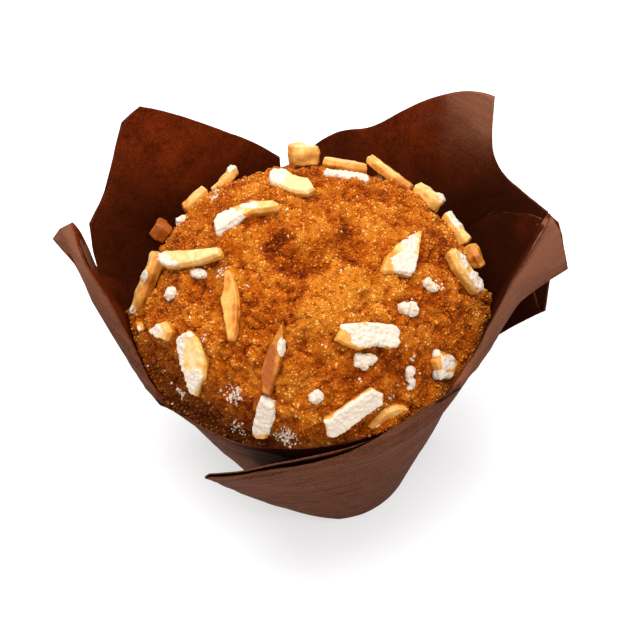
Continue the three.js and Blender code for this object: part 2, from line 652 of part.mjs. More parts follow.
// Each piece: where its middle lies on the dome in degrees, which way its X runs, how thick
// it is, and its outline seen from outside the crust, counter-clockwise.
const ALMONDS = [
  {
    name: 'top_left', azimuth: 160, elevation: 66.5, heading: 120, thickness: 3,
    outline: [[-8.5, -4], [-2.5, -1.5], [1.5, -0.5], [7.5, -2.5], [8.5, -1.5], [7, 1], [2.5, 3], [-2.5, 3.5], [-7.5, 2.5], [-8.5, 0.5]],
  },
  {
    name: 'top_back', azimuth: 108, elevation: 64, heading: 108, thickness: 2.4,
    outline: [[-3, -4], [6, -2.5], [8.5, -0.5], [8, 2], [3, 4], [-1.5, 2.5], [-5.5, 3], [-8.5, 1], [-7.5, -1]],
  },
  {
    name: 'left_bar', azimuth: 188, elevation: 46, heading: 61, thickness: 2.8, lift: 1.2,
    outline: [[-9.5, -0.5], [-6, -2.5], [-3, -2.5], [4, -2], [10.5, -0.5], [10.5, 1], [9.5, 2], [0.5, 2], [-7.5, 2.5], [-10, 1.5]],
  },
  {
    name: 'left_leaning', azimuth: 180, elevation: 18.5, heading: -63, thickness: 3.4, lift: -0.2,
    outline: [[-8.5, -1.5], [-3, -2.8], [4, -2.4], [8.5, -1], [8.5, 0.8], [3, 2.4], [-4, 2.6], [-8.5, 1.5]],
  },
  {
    name: 'left_upright', azimuth: 226, elevation: 49, heading: -47, thickness: 2.4,
    outline: [[-9, -1], [-4.5, -1.5], [-2, -2.5], [2, -2], [8.5, -1.2], [9, 0.5], [7, 1.5], [2, 2.4], [-2.5, 2.4], [-7.5, 1.5], [-9, 0.5]],
  },
  {
    name: 'left_broad', azimuth: 224, elevation: 22, heading: -52, thickness: 2.6,
    outline: [[-6.5, -4], [-0.5, -4], [6.5, -2.6], [8, -0.8], [6, 0.4], [3.5, 3], [0.5, 4], [-2.5, 3.6], [-6, 2.4], [-8, 0.5], [-7.5, -2]],
  },
  {
    name: 'left_chip', azimuth: 205, elevation: 22.5, heading: 28, thickness: 2.8,
    outline: [[-4.6, -1.8], [-0.5, -2.4], [3.6, -2.2], [4.4, 0.5], [1, 2.4], [-1.5, 1]],
  },
  {
    name: 'front_pointed', azimuth: 254, elevation: 38, heading: 88, thickness: 3,
    outline: [[-9, -1.4], [-2.5, -2.2], [2.5, -2.2], [6.5, -1.4], [9, -0.2], [6.5, 0.6], [3, 1.6], [-0.5, 2.2], [-4, 2.2], [-8.5, 0.8]],
  },
  {
    name: 'front_low', azimuth: 254, elevation: 13.5, heading: -96, thickness: 2.8,
    outline: [[-6, -1.6], [-2, -2], [5, -2], [6, -0.6], [5, 1.8], [-1, 2.4], [-5, 2]],
  },
  {
    name: 'back_left_high', azimuth: 127.3, elevation: 31.5, heading: -24, thickness: 2.8, tilt: -20, lift: 1.1,
    outline: bar(8.4, 3.6),
  },
  {
    name: 'back_left_low', azimuth: 139.6, elevation: 25.5, heading: -21, thickness: 3.8, lift: 0.7,
    outline: bar(7.6, 5.4, 0.75, 0.85),
  },
  {
    name: 'back_left_cube', azimuth: 157, elevation: 21.5, heading: 30, thickness: 4, lift: 1,
    outline: bar(5.6, 4.8, 0.85, 0.85),
  },
  {
    name: 'back_knob', azimuth: 94.2, elevation: 45, heading: 158, thickness: 4.6, lift: 1.8,
    outline: [[-4.2, -1.4], [-1.8, -3], [2, -2.6], [4.4, -1.4], [4.2, 1.4], [1.4, 2.6], [-2.6, 2.8], [-4.4, 1]],
  },
  {
    name: 'back_bar', azimuth: 74, elevation: 47, heading: -170, thickness: 3.3, lift: 0.7,
    outline: [[-5.7, -1.2], [-3, -2.2], [3, -2.2], [5.7, -1], [5.7, 1], [2.4, 2.2], [-3.4, 2.2], [-5.7, 1.2]],
  },
  {
    name: 'back_flat', azimuth: 69.5, elevation: 56, heading: -162, thickness: 1.8, lift: -0.2,
    outline: bar(10.8, 3.8, 0.7, 0.6),
  },
  {
    name: 'back_right_pointed', azimuth: 57, elevation: 35.5, heading: 8, thickness: 2.8, tilt: 13, lift: 1.1,
    outline: [[-7, -1.8], [0, -2.2], [4.4, -1.4], [7.4, 0], [3.6, 1.8], [-2, 2.2], [-7, 1.8]],
  },
  {
    name: 'back_right_knob', azimuth: 40.5, elevation: 28, heading: -158, thickness: 3.8, lift: 0.7,
    outline: [[-4.2, -1.6], [-0.6, -2.6], [3.8, -1.8], [4.2, 0.8], [1.6, 2.5], [-2.4, 2.2], [-4.2, 1.4]],
  },
  {
    name: 'right_wedge', azimuth: 346, elevation: 56.5, heading: -18, thickness: 2.8,
    outline: [[-9.5, 1], [-6.5, -1], [-4.5, -3.8], [-2.5, -4], [3, -2], [9.5, 1], [9, 2], [1, 3.8], [-5, 3.8], [-9.5, 2.4]],
  },
  {
    name: 'right_back_flat', azimuth: 26.5, elevation: 20.5, heading: -156, thickness: 3.4, lift: 0.2,
    outline: bar(9.2, 5.4, 0.6, 0.8),
  },
  {
    name: 'right_curved', azimuth: 358.5, elevation: 29.5, heading: -112, thickness: 3.2, lift: 0.2,
    outline: [[-7, -2], [-3, -3.4], [2, -3], [6, -2.2], [7, 0.4], [5, 2.6], [1, 1.6], [-3.4, 1.8], [-6.8, 0.4]],
  },
  {
    name: 'right_nub', azimuth: 13.5, elevation: 17.5, heading: -140, thickness: 3.4, lift: 0.3,
    outline: bar(6.6, 4.2, 0.6, 0.85),
  },
  {
    name: 'front_right_broad', azimuth: 294, elevation: 44, heading: 161, thickness: 2.8,
    outline: [[-8, -1.4], [-6.6, -3], [-2.5, -3], [0.5, -3.4], [6, -2.6], [8, 1], [5.5, 2.2], [2, 3.4], [-2.5, 2], [-5.5, 3], [-8, 2]],
  },
  {
    name: 'right_low_chunk', azimuth: 321, elevation: 17, heading: -60, thickness: 3.6,
    outline: [[-4.4, -1], [0, -3.4], [3.2, -2], [4.6, 2], [3.4, 3.2], [-1.5, 3], [-4.6, 2]],
  },
  {
    name: 'front_bar', azimuth: 283, elevation: 17.5, heading: 29, thickness: 3, lift: 0.9,
    outline: [[-8.2, -1.5], [-6.8, -3], [6.8, -2.8], [8.2, -1], [7, 2.2], [-6.8, 2.6]],
  },
  {
    name: 'front_tucked', azimuth: 295.5, elevation: 8, heading: 14, thickness: 2.6, lift: -1.1,
    outline: [[-3.5, -2.6], [2.5, -2.4], [6, -1], [3.5, 1.6], [0, 2.6], [-5.6, 0.5]],
  },
  {
    name: 'left_rim_chip', azimuth: 191.5, elevation: 6, heading: 20, thickness: 2.8, lift: -0.4,
    outline: bar(5.6, 3.8, 0.8, 0.8),
  },
];

// The rings of a piece's section: how far each lies inside the outline, and how high it is
// as a share of the thickness.
const SLAB_RINGS = [
  { inset: 0.5, level: -0.5 },
  { inset: 0, level: 0.05 },
  { inset: 0.45, level: 0.5 },
];
const SLAB_SINK = 0.12; // share of its thickness below the middle that is in the crust
const SHARPEST = 0.6; // keeps a moved corner from running away at a sharp tip

// An outline with each side moved outwards by a distance.
function moveOutline(outline, distance) {
  const corners = outline.map(([x, y]) => new THREE.Vector2(x, y));
  const sideNormal = (from, to) => {
    const side = to.clone().sub(from).normalize();
    return new THREE.Vector2(side.y, -side.x);
  };
  return corners.map((corner, i) => {
    const before = corners[(i + corners.length - 1) % corners.length];
    const after = corners[(i + 1) % corners.length];
    const first = sideNormal(before, corner);
    const middle = first.clone().add(sideNormal(corner, after)).normalize();
    return corner.clone().addScaledVector(middle, distance / Math.max(middle.dot(first), SHARPEST));
  });
}

// One piece of almond about its own middle; extra makes it larger all round.
function slab({ outline, thickness }, extra = 0) {
  const count = outline.length;
  const points = SLAB_RINGS.flatMap(({ inset, level }) =>
    moveOutline(outline, extra - inset).map(({ x, y }) => [x, y, level * (thickness + 2 * extra)]));
  const at = (ring, i) => ring * count + (i % count);
  const triangles = [];
  for (let ring = 0; ring + 1 < SLAB_RINGS.length; ring++) {
    for (let i = 0; i < count; i++) {
      triangles.push([at(ring, i), at(ring, i + 1), at(ring + 1, i + 1)]);
      triangles.push([at(ring, i), at(ring + 1, i + 1), at(ring + 1, i)]);
    }
  }
  const last = SLAB_RINGS.length - 1;
  const cap = THREE.ShapeUtils.triangulateShape(moveOutline(outline, extra - SLAB_RINGS[last].inset), []);
  for (const [a, b, c] of cap) {
    triangles.push([at(last, a), at(last, b), at(last, c)]);
    triangles.push([at(0, a), at(0, c), at(0, b)]);
  }
  return closedGeometry(points, triangles);
}

// A piece in its place, lying on the crust with its underside sunk in.
function placedSlab(almond, extra = 0) {
  const lift = (almond.lift ?? 0) + almond.thickness * (0.5 - SLAB_SINK);
  return setOnCrust(slab(almond, extra), { ...almond, lift });
}

// The muffin with its sugar clumps fused on and a pocket for each almond.
function makeMuffin() {
  const random = makeRandom(41);
  let body = muffinBody();
  for (const clump of SUGAR_CLUMPS) {
    const lift = clump.size[2] * CLUMP_LIFT;
    body = body.add(toManifold(setOnCrust(sugarClump(clump, random), { ...clump, lift })));
  }
  for (const almond of ALMONDS) body = body.subtract(toManifold(placedSlab(almond, POCKET_GAP)));
  return fromManifold(largestBody(body));
}

// ---------------------------------------------------------------- the model

const PAPER = new THREE.MeshStandardMaterial({ color: 0x5a3426, roughness: 0.85, metalness: 0 });
const CRUMB = new THREE.MeshStandardMaterial({ color: 0xc17a31, roughness: 0.9, metalness: 0 });
const ALMOND = new THREE.MeshStandardMaterial({ color: 0xe6c68c, roughness: 0.6, metalness: 0 });

function namedMesh(name, geometry, material) {
  const mesh = new THREE.Mesh(geometry, material);
  mesh.name = name;
  return mesh;
}

const muffin = new THREE.Group();
muffin.add(namedMesh('paper_case', makePaperCase(), PAPER));
muffin.add(namedMesh('muffin', makeMuffin(), CRUMB));
for (const almond of ALMONDS) {
  muffin.add(namedMesh(`almond_${almond.name}`, placedSlab(almond), ALMOND));
}

export default muffin;
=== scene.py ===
"""An almond muffin in a folded tulip paper case, dressed over its CAD frame.

Everything is in metres in the frame of the CAD model: +Z up, the origin at the centre of the
flat underside of the paper, the front towards -Y.
"""

import logging
import math
from collections.abc import Iterable, Sequence
from dataclasses import dataclass, field
from enum import Enum
from functools import partial

import bmesh
import bpy
import numpy as np
from mathutils import Euler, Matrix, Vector, noise
from mathutils.bvhtree import BVHTree

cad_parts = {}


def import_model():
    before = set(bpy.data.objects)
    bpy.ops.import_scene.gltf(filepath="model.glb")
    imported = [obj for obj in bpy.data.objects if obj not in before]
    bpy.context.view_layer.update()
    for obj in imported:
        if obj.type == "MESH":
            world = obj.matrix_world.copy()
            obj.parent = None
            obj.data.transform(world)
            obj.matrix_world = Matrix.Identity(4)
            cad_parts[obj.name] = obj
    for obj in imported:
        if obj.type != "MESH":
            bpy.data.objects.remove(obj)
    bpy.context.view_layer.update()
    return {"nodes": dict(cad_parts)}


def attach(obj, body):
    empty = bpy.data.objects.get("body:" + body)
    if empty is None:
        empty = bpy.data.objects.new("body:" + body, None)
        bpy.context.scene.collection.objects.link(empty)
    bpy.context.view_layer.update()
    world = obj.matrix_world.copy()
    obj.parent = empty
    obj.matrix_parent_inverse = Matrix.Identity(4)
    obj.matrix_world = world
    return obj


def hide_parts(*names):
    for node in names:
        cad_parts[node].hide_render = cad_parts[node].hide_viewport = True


LOG = logging.getLogger("muffin")
MM = 0.001
PER_CM2 = 1e4
FULL_TURN = 6.283
WHITE = (1.0, 1.0, 1.0, 1.0)
BODY = "root"

Pair = tuple[float, float]
Triple = tuple[float, float, float]
Color = Triple
Array = np.ndarray
Mesh = bpy.types.Mesh
Piece = bpy.types.Object
Material = bpy.types.Material
Node = bpy.types.Node
Socket = bpy.types.NodeSocket
Tree = bpy.types.NodeTree

# How far one seed and one finer layer shift the noise, and, in millimetres, how near loose
# corners are joined and how far a search starts off its own surface.
SEED_SHIFT = 17.3
LAYER_SHIFT = 5.1
JOIN_WITHIN = 0.002
START_OFF = 0.05

# The mix node's sockets for its two colours, and the one for its result.
MIX_FIRST, MIX_SECOND, MIX_RESULT = 6, 7, 2

# Small helpers.


def ease(low: float, high: float, value: Array | float) -> Array | float:
    """Smooth step from 0 at low to 1 at high."""
    share = np.clip((value - low) / (high - low), 0.0, 1.0)
    return share * share * (3 - 2 * share)


def linear(red: float, green: float, blue: float) -> Color:
    """A colour given in screen values from 0 to 255, as linear light by the screen's curve."""
    return tuple(
        c / 12.92 if c <= 0.04045 else ((c + 0.055) / 1.055) ** 2.4
        for c in (red / 255, green / 255, blue / 255)
    )


def noise_at(points: Array, size: float, seed: float = 0.0, octaves: int = 1) -> Array:
    """Smooth noise at points.

    Args:
        points: N x 3 places in millimetres.
        size: Width of a lump in millimetres.
        seed: Shifts the pattern.
        octaves: How many layers it has, each half as wide and half as strong as the last.

    Returns:
        One value a point, about -1 to 1.
    """
    total = np.zeros(len(points))
    for octave in range(octaves):
        scale = 2**octave / size
        shift = seed * SEED_SHIFT + octave * LAYER_SHIFT
        layer = [noise.noise(Vector((x, y, z))) for x, y, z in points * scale + shift]
        total += np.array(layer) / 2**octave
    return total


def vertex_values(mesh: Mesh, name: str) -> Array:
    """Three numbers of each vertex of a mesh.

    Args:
        mesh: The mesh.
        name: Blender's name for the numbers, "co" or "normal".

    Returns:
        N x 3 numbers.
    """
    flat = np.empty(len(mesh.vertices) * 3, np.float32)
    mesh.vertices.foreach_get(name, flat)
    return flat.reshape(-1, 3).astype(float)


def mesh_points(mesh: Mesh) -> Array:
    """Places of a mesh's vertices, N x 3 in millimetres."""
    return vertex_values(mesh, "co") / MM


def set_points(mesh: Mesh, points: Array) -> None:
    """Moves a mesh's vertices to places in millimetres."""
    mesh.vertices.foreach_set("co", (points * MM).astype(np.float32).ravel())
    mesh.update()


def mesh_normals(mesh: Mesh) -> Array:
    """Outward direction at each vertex of a mesh, N x 3."""
    return vertex_values(mesh, "normal")


def add_attribute(mesh: Mesh, name: str, values: Array) -> None:
    """Stores one number a vertex under a name."""
    attribute = mesh.attributes.new(name, "FLOAT", "POINT")
    attribute.data.foreach_set("value", values.astype(np.float32))


def linked(name: str, data: bpy.types.ID) -> Piece:
    """A new object in the scene.

    Args:
        name: Its name.
        data: The mesh, light or camera that it holds.

    Returns:
        The object.
    """
    holder = bpy.data.objects.new(name, data)
    bpy.context.scene.collection.objects.link(holder)
    return holder


def aim(holder: Piece, place: Triple, target: Triple) -> None:
    """Puts a lamp or camera in its place and turns it towards a target.

    Args:
        holder: The lamp or camera.
        place: Where it stands, in metres.
        target: What it looks at, in metres.
    """
    holder.location = place
    way = Vector(target) - Vector(place)
    holder.rotation_euler = way.to_track_quat("-Z", "Y").to_euler()


def new_object(name: str, mesh: Mesh, material: Material) -> Piece:
    """Puts a finished mesh into the scene, smooth-shaded.

    Args:
        name: The piece's name.
        mesh: Its mesh.
        material: Its one finish.

    Returns:
        The piece.
    """
    mesh.name = name
    mesh.materials.clear()
    mesh.materials.append(material)
    mesh.shade_smooth()
    return linked(name, mesh)


def baked(worker: Piece) -> Mesh:
    """The plain mesh that a working object's modifiers give.

    Args:
        worker: The object; it is removed.

    Returns:
        A new mesh.
    """
    bpy.context.view_layer.update()
    graph = bpy.context.evaluated_depsgraph_get()
    mesh = bpy.data.meshes.new_from_object(worker.evaluated_get(graph), depsgraph=graph)
    worker.modifiers.clear()
    bpy.data.objects.remove(worker)
    return mesh


def remeshed(mesh: Mesh, voxel: float, smooth: int) -> Mesh:
    """An even, closed mesh over one or more closed bodies.

    Args:
        mesh: The bodies; they may overlap.
        voxel: Length of a face's side in millimetres.
        smooth: Rounds of smoothing afterwards.

    Returns:
        A new mesh.
    """
    worker = linked("worker", mesh)
    even = worker.modifiers.new("even", "REMESH")
    even.mode = "VOXEL"
    even.voxel_size = voxel * MM
    soft = worker.modifiers.new("soft", "SMOOTH")
    soft.iterations = smooth
    return baked(worker)


def surface_tree(mesh: Mesh) -> BVHTree:
    """A search tree over a mesh, in millimetres."""
    faces = [tuple(face.vertices) for face in mesh.polygons]
    return BVHTree.FromPolygons(mesh_points(mesh).tolist(), faces)


def gap_along(tree: BVHTree, places: Array, ways: Array, reach: float) -> Array:
    """How far the next surface lies from each place.

    Args:
        tree: The surface, from surface_tree.
        places: N x 3 places in millimetres.
        ways: N x 3 directions of length 1.
        reach: How far to look.

    Returns:
        The distance for each place, or the reach where there is nothing.
    """
    start = places + ways * START_OFF
    found = [tree.ray_cast(a, b, reach)[3] for a, b in zip(start.tolist(), ways.tolist())]
    return np.array([reach if distance is None else distance for distance in found])


def merged_copy(node: Piece) -> Mesh:
    """A copy of a CAD node's mesh with its loose triangles joined.

    Args:
        node: The CAD node, which stays as it is.

    Returns:
        A new mesh.
    """
    shape = bmesh.new()
    shape.from_mesh(node.data)
    bmesh.ops.remove_doubles(shape, verts=shape.verts, dist=JOIN_WITHIN * MM)
    mesh = bpy.data.meshes.new("copy")
    shape.to_mesh(mesh)
    shape.free()
    return mesh


def add_node(tree: Tree, kind: str, **settings: object) -> Node:
    """A new node in a tree.

    Args:
        tree: A material's or a scatter's nodes.
        kind: Blender's name for the node.
        settings: The node's plain settings.

    Returns:
        The node.
    """
    made = tree.nodes.new(kind)
    for key, value in settings.items():
        setattr(made, key, value)
    return made


def settle(piece: Piece, nodes: Iterable[str] = ()) -> None:
    """Makes a finished piece ride on the muffin's one body, and logs it.

    Args:
        piece: The finished piece.
        nodes: CAD nodes that it stands for.
    """
    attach(piece, BODY)
    nodes = list(nodes)
    if nodes:
        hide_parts(*nodes)
    LOG.info("%s: %d faces", piece.name, len(piece.data.polygons))


# Finishes.


class Shader:
    """A material's node tree, built one node at a time on a pattern in millimetres."""

    def __init__(self, name: str) -> None:
        """Starts a material with one principled surface.

        Args:
            name: The material's name.
        """
        self.material = bpy.data.materials.new(name)
        self.material.use_nodes = True
        self.tree = self.material.node_tree
        self.surface = self.tree.nodes["Principled BSDF"]
        place = self.tree.nodes.new("ShaderNodeTexCoord")
        scale = self.tree.nodes.new("ShaderNodeMapping")
        scale.inputs["Scale"].default_value = (1 / MM, 1 / MM, 1 / MM)
        self.tree.links.new(place.outputs["Object"], scale.inputs["Vector"])
        self.place = scale.outputs["Vector"]

    def node(self, kind: str, **settings: object) -> Node:
        """A new node of a kind, with its plain settings."""
        return add_node(self.tree, kind, **settings)

    def link(self, source: object, node: Node, socket: str | int) -> None:
        """Feeds a node's socket.

        Args:
            source: Another socket, or a plain number or colour.
            node: The node that is fed.
            socket: The name or number of its socket.
        """
        if isinstance(source, Socket):
            self.tree.links.new(source, node.inputs[socket])
        elif isinstance(source, tuple) and len(source) == 3:
            node.inputs[socket].default_value = (*source, 1.0)
        else:
            node.inputs[socket].default_value = source

    def noise(
        self,
        size: float,
        detail: float = 2.0,
        roughness: float = 0.5,
        place: Socket | None = None,
    ) -> Socket:
        """Smooth noise, 0 to 1.

        Args:
            size: Width of a lump in millimetres.
            detail: How many finer layers it has.
            roughness: How strong each finer layer is.
            place: Where the pattern lies, if not on the piece itself.

        Returns:
            The noise.
        """
        made = self.node("ShaderNodeTexNoise")
        self.link(1 / size, made, "Scale")
        self.link(detail, made, "Detail")
        self.link(roughness, made, "Roughness")
        self.link(place or self.place, made, "Vector")
        return made.outputs["Fac"]

    def cells(self, size: float, feature: str = "F1", place: Socket | None = None) -> Socket:
        """Distance in a pattern of cells.

        Args:
            size: Width of a cell in millimetres.
            feature: Which distance is measured.
            place: Where the pattern lies, if not on the piece itself.

        Returns:
            The distance.
        """
        made = self.node("ShaderNodeTexVoronoi", feature=feature)
        self.link(1 / size, made, "Scale")
        self.link(place or self.place, made, "Vector")
        return made.outputs["Distance"]

    def warped(self, size: float, reach: float) -> Socket:
        """The pattern's place, pushed about by noise.

        Args:
            size: Width of the noise's lumps in millimetres.
            reach: How far it pushes, in millimetres.

        Returns:
            The new place.
        """
        push = self.node("ShaderNodeTexNoise")
        self.link(1 / size, push, "Scale")
        self.link(self.place, push, "Vector")
        middle = self.node("ShaderNodeVectorMath", operation="SUBTRACT")
        self.link(push.outputs["Color"], middle, 0)
        middle.inputs[1].default_value = (0.5, 0.5, 0.5)
        far = self.node("ShaderNodeVectorMath", operation="MULTIPLY_ADD")
        self.link(middle.outputs[0], far, 0)
        far.inputs[1].default_value = (2 * reach, 2 * reach, 2 * reach)
        self.link(self.place, far, 2)
        return far.outputs[0]

    def vector(self, name: str, scale: Triple) -> Socket:
        """A place stored on the mesh.

        Args:
            name: The attribute's name.
            scale: How it is stretched along its axes.

        Returns:
            The stretched place.
        """
        turn = self.node("ShaderNodeMapping")
        turn.inputs["Scale"].default_value = scale
        source = self.node("ShaderNodeAttribute", attribute_name=name)
        self.link(source.outputs["Vector"], turn, "Vector")
        return turn.outputs["Vector"]

    def attribute(self, name: str) -> Socket:
        """A number stored on the mesh."""
        return self.node("ShaderNodeAttribute", attribute_name=name).outputs["Fac"]

    def total(self, *parts: tuple[object, float]) -> Socket:
        """A sum of sockets.

        Args:
            parts: Each socket with its share.

        Returns:
            The sum.
        """
        (first, share), *others = parts
        result = self.math("MULTIPLY", first, share)
        for part, share in others:
            result = self.math("MULTIPLY_ADD", part, share, result)
        return result

    def ramp(self, source: object, stops: Sequence[tuple[float, Color]]) -> Socket:
        """A colour by a number.

        Args:
            source: The number.
            stops: The colours, each with the number at which it is reached.

        Returns:
            The colour.
        """
        made = self.node("ShaderNodeValToRGB")
        elements = made.color_ramp.elements
        while len(elements) < len(stops):
            elements.new(0.5)
        for element, (position, color) in zip(elements, stops):
            element.position = position
            element.color = (*color, 1.0)
        self.link(source, made, "Fac")
        return made.outputs["Color"]

    def math(self, operation: str, *values: object) -> Socket:
        """An operation on numbers.

        Args:
            operation: Blender's name for it.
            values: Sockets or plain numbers.

        Returns:
            The result.
        """
        made = self.node("ShaderNodeMath", operation=operation)
        for i, value in enumerate(values):
            self.link(value, made, i)
        return made.outputs[0]

    def span(self, source: object, low: float, high: float) -> Socket:
        """A smooth step.

        Args:
            source: The number.
            low: Where the step is 0.
            high: Where it is 1.

        Returns:
            The step.
        """
        made = self.node("ShaderNodeMapRange", interpolation_type="SMOOTHSTEP")
        self.link(source, made, "Value")
        self.link(low, made, "From Min")
        self.link(high, made, "From Max")
        return made.outputs["Result"]

    def mix(self, share: object, first: object, second: object) -> Socket:
        """One colour turned into another.

        Args:
            share: The second colour's share.
            first: The first colour.
            second: The second colour.

        Returns:
            The colour.
        """
        made = self.node("ShaderNodeMix", data_type="RGBA")
        self.link(share, made, 0)
        self.link(first, made, MIX_FIRST)
        self.link(second, made, MIX_SECOND)
        return made.outputs[MIX_RESULT]

    def finish(
        self,
        color: object,
        roughness: object,
        bumps: Sequence[tuple[object, float]] = (),
        gloss: float = 0.5,
    ) -> Material:
        """Connects colour, roughness and bumps.

        Args:
            color: Colour socket or linear colour.
            roughness: Roughness socket or number.
            bumps: Height sockets with the height of each in millimetres.
            gloss: Strength of the surface's reflection, 0.5 for a plain coat.

        Returns:
            The finished material.
        """
        self.link(color, self.surface, "Base Color")
        self.link(roughness, self.surface, "Roughness")
        self.surface.inputs["Specular IOR Level"].default_value = gloss
        normal = None
        for height, depth in bumps:
            made = self.node("ShaderNodeBump")
            self.link(height, made, "Height")
            self.link(depth * MM, made, "Distance")
            self.link(1.0, made, "Strength")
            if normal:
                self.link(normal, made, "Normal")
            normal = made.outputs["Normal"]
        if normal:
            self.link(normal, self.surface, "Normal")
        return self.material


@dataclass(frozen=True)
class CrustFinish:
    """Baked golden crust: golden on the ridge, orange brown with painted shade in hollows, grainy
    all over.
    """

    golden: Color = linear(200, 118, 28)
    baked: Color = linear(162, 71, 4)
    deep: Color = linear(112, 38, 2)
    # Painted shade near the paper's rim: the crust turns to the edge colour where the rim mark is
    # high.
    edge: Color = linear(44, 13, 2)
    patch_size: float = 6.5
    grain_size: float = 0.5
    grain_depth: float = 0.8
    pit_size: float = 0.8
    pit_depth: float = 0.4
    rough: float = 0.7
    gloss: float = 0.03

    def material(self) -> Material:
        """The crust's material.

        Returns:
            The finished material.
        """
        shader = Shader("baked_crust")
        patches = shader.noise(self.patch_size, detail=4.0, roughness=0.6)
        grains = shader.noise(self.grain_size, detail=3.0, roughness=0.75)
        pits = shader.cells(self.pit_size, "SMOOTH_F1")
        tone = shader.total(
            (grains, 0.5),
            (patches, 0.75),
            (shader.attribute("golden"), 0.2),
            # hollow: painted shade in the furrow and low places, and real browning on the knob.
            (shader.attribute("hollow"), -0.55),
        )
        color = shader.ramp(tone, [(0.32, self.deep), (0.56, self.baked), (0.88, self.golden)])
        # Painted shade: darkens towards the edge colour near the paper's rim, most at the lower
        # left.
        color = shader.mix(shader.attribute("rim"), color, self.edge)
        bumps = [(grains, self.grain_depth), (pits, self.pit_depth)]
        return shader.finish(color, self.rough, bumps, self.gloss)


@dataclass(frozen=True)
class GrainFinish:
    """Loose grains of crust and sugar, from deep orange to pale amber by a stored tone."""

    dark: Color = linear(92, 30, 2)
    brown: Color = linear(149, 67, 5)
    amber: Color = linear(186, 102, 18)
    pale: Color = linear(218, 152, 72)
    # Painted shade near the paper's rim, as on the crust.
    edge: Color = linear(66, 22, 4)
    grain_rim_shade_share: float = 0.82
    patch_size: float = 6.5
    pit_size: float = 0.4
    pit_depth: float = 0.1
    rough: float = 0.5
    gloss: float = 0.1

    def material(self) -> Material:
        """The grains' material.

        Returns:
            The finished material.
        """
        shader = Shader("crust_grains")
        tone = shader.total(
            (shader.noise(self.patch_size, detail=4.0, roughness=0.6), 0.75),
            (shader.attribute("tone"), 0.5),
            (shader.attribute("golden"), 0.14),
            # hollow: painted shade in the furrow and low places, and real browning on the knob.
            (shader.attribute("hollow"), -0.45),
        )
        color = shader.ramp(
            tone, [(0.3, self.dark), (0.52, self.brown), (0.78, self.amber), (0.95, self.pale)]
        )
        # Painted shade: grains near the paper's rim darken towards the edge colour.
        shaded = shader.math("MULTIPLY", shader.attribute("rim"), self.grain_rim_shade_share)
        color = shader.mix(shaded, color, self.edge)
        bumps = [(shader.noise(self.pit_size), self.pit_depth)]
        return shader.finish(color, self.rough, bumps, self.gloss)


@dataclass(frozen=True)
class PaperFinish:
    """Dark brown baking paper, grease-stained inside, dry outside, with painted shade and a
    painted highlight.
    """

    dry: Color = linear(97, 55, 36)
    dry_dark: Color = linear(44, 20, 10)
    greasy: Color = linear(106, 37, 7)
    greasy_dark: Color = linear(54, 14, 2)
    # Painted shade: the dark colour between the layers of the folds and low on the shaded inside.
    painted_shade: Color = linear(34, 9, 2)
    # Painted highlight on the high outer flaps, and the lighter colour of the dry paper.
    dry_and_sunlit: Color = linear(142, 91, 69)
    fibre_stretch: Triple = (0.14, 0.14, 2.4)
    fibre_depth: float = 0.06
    speckle_size: float = 0.4
    speckle_depth: float = 0.04
    cloud_size: float = 7.0
    fold_size: float = 13.0
    fold_width: float = 0.1
    fold_depth: float = 0.05
    dent_depth: float = 0.15
    rough: float = 0.68
    greasy_shine: float = 0.1
    gloss: float = 0.02

    def material(self) -> Material:
        """The paper's material.

        Returns:
            The finished material.
        """
        shader = Shader("baking_paper")
        wrap = shader.vector("grain", self.fibre_stretch)
        fibres = shader.noise(1.0, detail=3.0, roughness=0.65, place=wrap)
        bands = shader.noise(5.0, detail=3.0, roughness=0.6, place=wrap)
        speckle = shader.noise(self.speckle_size, detail=3.0, roughness=0.75)
        mottle = shader.noise(1.7, detail=4.0, roughness=0.7)
        clouds = shader.noise(self.cloud_size, detail=4.0, roughness=0.6)
        dry = shader.total((bands, 0.3), (fibres, 0.6), (speckle, 0.9))
        outside = shader.ramp(dry, [(0.72, self.dry_dark), (1.04, self.dry)])
        # Painted highlight on the high outward-facing flaps, and the real lighter dry paper.
        outside = shader.mix(shader.attribute("painted_highlight_and_dry"), outside, self.dry_and_sunlit)
        # Painted shade: the outside darkens where another layer of the fold lies just beyond it.
        outside = shader.mix(shader.attribute("pocket_shade"), outside, self.painted_shade)
        stain = shader.total((speckle, 0.85), (clouds, 0.5), (mottle, 0.4))
        inside = shader.ramp(stain, [(0.7, self.greasy_dark), (1.05, self.greasy)])
        # Painted shade: the inside darkens low down and on the right petal.
        inside = shader.mix(shader.attribute("inner_shade"), inside, self.painted_shade)
        soaked = shader.math("MULTIPLY", shader.attribute("inside"), shader.attribute("soaked"))
        color = shader.mix(soaked, outside, inside)
        rough = shader.math("MULTIPLY_ADD", soaked, -self.greasy_shine, self.rough)
        folds = shader.cells(self.fold_size, "DISTANCE_TO_EDGE", shader.warped(9.0, 4.0))
        bumps = [
            (fibres, self.fibre_depth),
            (speckle, self.speckle_depth),
            (shader.span(folds, 0.0, self.fold_width), self.fold_depth),
            (shader.noise(self.cloud_size, detail=3.0, roughness=0.5), self.dent_depth),
        ]
        return shader.finish(color, rough, bumps, self.gloss)


